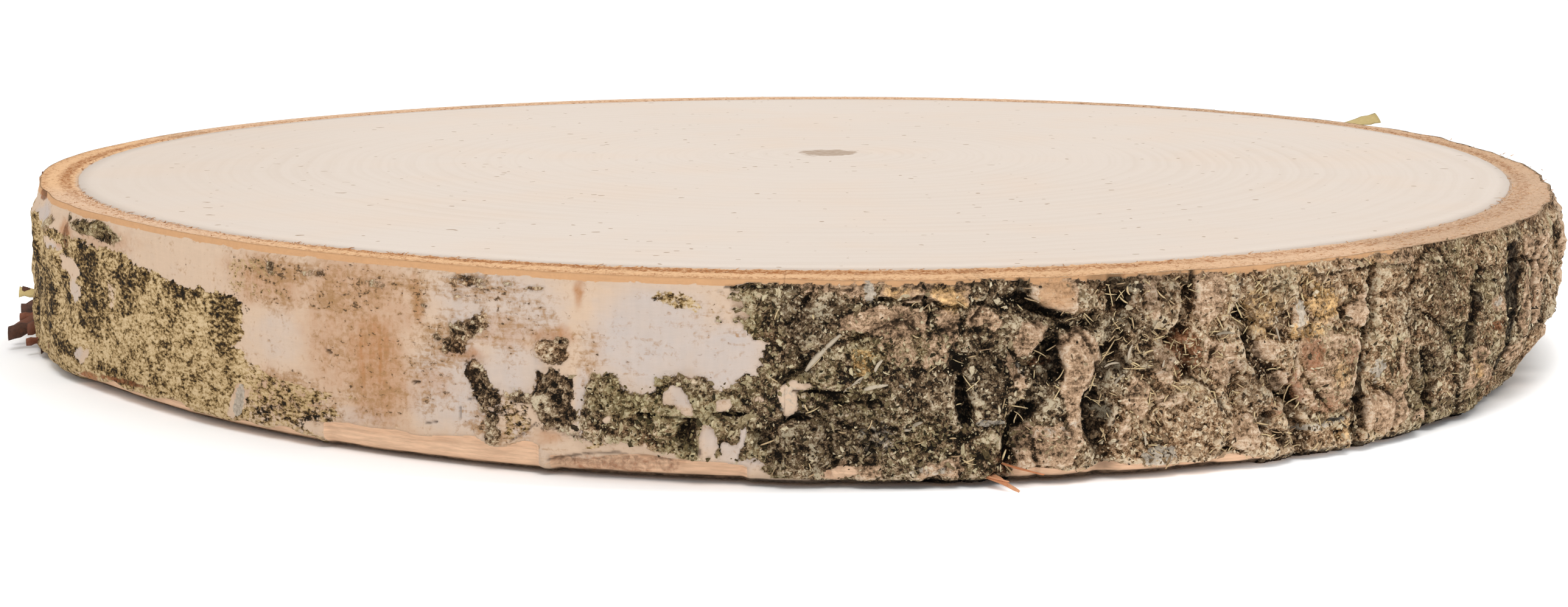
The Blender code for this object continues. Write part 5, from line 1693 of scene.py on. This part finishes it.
class SLICE_OT_fuzz(bpy.types.Operator):
    """Raises the torn fibres that the saw left on the inner bark"""

    bl_idname = "birch.fuzz"
    bl_label = "Saw fuzz"

    def execute(self, context):
        c = colours()
        rng = np.random.default_rng(FUZZ_SEED)
        count = context.scene.slice_sizes.fuzz
        angle = rng.uniform(-180, 180, count)
        front = rng.uniform(0, 1, count) < FUZZ_FRONT_SHARE
        angle = np.where(front, rng.uniform(-FUZZ_FRONT_TO, FUZZ_FRONT_TO, count), angle)
        share = np.clip(rng.beta(1.6, 2.2, count), 0.06, 0.97)
        inner, rim = wood_radius(angle), rim_radius(angle)
        radius = inner + (rim - 0.3 - inner) * share
        length = rng.lognormal(math.log(FUZZ_LENGTH), 0.4, count)
        turn = np.radians(angle) + rng.normal(0.0, 0.9, count)
        run = np.linspace(0.0, 1.0, 3)[None, :] * length[:, None]
        start = rim_point(angle, radius, THICKNESS - 0.08)
        ahead = np.stack([np.cos(turn), np.sin(turn), 0 * turn], -1)
        lift = rng.uniform(0.02, 0.16, count)[:, None] * np.array([0.0, 0.7, 1.0])
        paths = start[:, None] + ahead[:, None] * run[..., None] * MM
        paths[..., 2] += lift * MM
        widths = rng.uniform(0.05, 0.11, count)[:, None] * np.array([1.0, 0.8, 0.35]) * MM
        piece = strands("saw_fuzz", paths, widths, np.clip(rng.normal(0.75, 0.2, count), 0, 1))
        dressed(piece, fibre_finish("saw_fuzz", c.inner_bark, c.inner_dark))
        return {"FINISHED"}


class SLICE_OT_stage(bpy.types.Operator):
    """Sets the floor, the soft studio light and the camera"""

    bl_idname = "birch.stage"
    bl_label = "Stage"

    def execute(self, context):
        deselect_all()
        bpy.ops.mesh.primitive_plane_add(size=FLOOR_SIZE, location=(0.0, 0.0, -FLOOR_DROP))
        floor = context.object
        floor.name = "floor"
        s = Shader("pale_floor", 0.9, 0.1)
        s.surface.inputs["Base Color"].default_value = FLOOR_COLOUR
        # Painted light: the floor glows in a ring round the slice
        away = s.distance(FLOOR_GLOW_MIDDLE)
        near, far = away.between(*FLOOR_GLOW_FROM), away.between(*FLOOR_GLOW_TO)
        s.join(s.mix(near * (1.0 - far), BLACK, WHITE), "Emission Color")
        s.surface.inputs["Emission Strength"].default_value = FLOOR_GLOW
        floor.data.materials.append(s.material)
        world = bpy.data.worlds.new("studio")
        context.scene.world = world
        world.use_nodes = True
        sky = world.node_tree.nodes["Background"]
        sky.inputs["Color"].default_value = WHITE
        sky.inputs["Strength"].default_value = SKY_STRENGTH
        for name, direction, strength, spread in LAMPS:
            bpy.ops.object.light_add(type="SUN")
            lamp = context.object
            lamp.name = name
            lamp.data.energy = strength
            lamp.data.angle = math.radians(spread)
            lamp.rotation_euler = Vector(direction).to_track_quat("Z", "Y").to_euler()
        bpy.ops.object.camera_add(
            location=[c * MM for c in CAMERA_PLACE],
            rotation=(math.radians(90.0 - CAMERA_PITCH), math.radians(CAMERA_ROLL), 0.0),
        )
        camera = context.object
        camera.data.sensor_width = CAMERA_SENSOR
        camera.data.lens = CAMERA_LENS
        camera.data.clip_start = 0.01
        camera.data.clip_end = 20.0
        context.scene.camera = camera
        context.scene.view_settings.view_transform = "Standard"
        return {"FINISHED"}


class SLICE_PT_sidebar(bpy.types.Panel):
    """Lists the steps that build the slice, with its sizes and colours."""

    bl_label = "Birch Slice"
    bl_idname = "SLICE_PT_sidebar"
    bl_space_type = "VIEW_3D"
    bl_region_type = "UI"
    bl_category = "Birch Slice"

    def draw(self, context):
        for step in STEPS:
            self.layout.operator(step.bl_idname)
        for group in (context.scene.slice_sizes, context.scene.slice_colours):
            for name in group.__annotations__:
                self.layout.prop(group, name)


STEPS = (SLICE_OT_wood, SLICE_OT_bark, SLICE_OT_crumbs, SLICE_OT_straw, SLICE_OT_shreds, SLICE_OT_fuzz,
         SLICE_OT_stage)
CLASSES = (SliceColours, SliceSizes, *STEPS, SLICE_PT_sidebar)


def register():
    for c in CLASSES:
        bpy.utils.register_class(c)
    bpy.types.Scene.slice_colours = bpy.props.PointerProperty(type=SliceColours)
    bpy.types.Scene.slice_sizes = bpy.props.PointerProperty(type=SliceSizes)


def unregister():
    del bpy.types.Scene.slice_colours
    del bpy.types.Scene.slice_sizes
    for c in reversed(CLASSES):
        bpy.utils.unregister_class(c)


def main():
    register()
    for step in STEPS:
        group, name = step.bl_idname.split(".")
        getattr(getattr(bpy.ops, group), name)()
    bpy.context.view_layer.update()


if __name__ == "__main__":
    main()
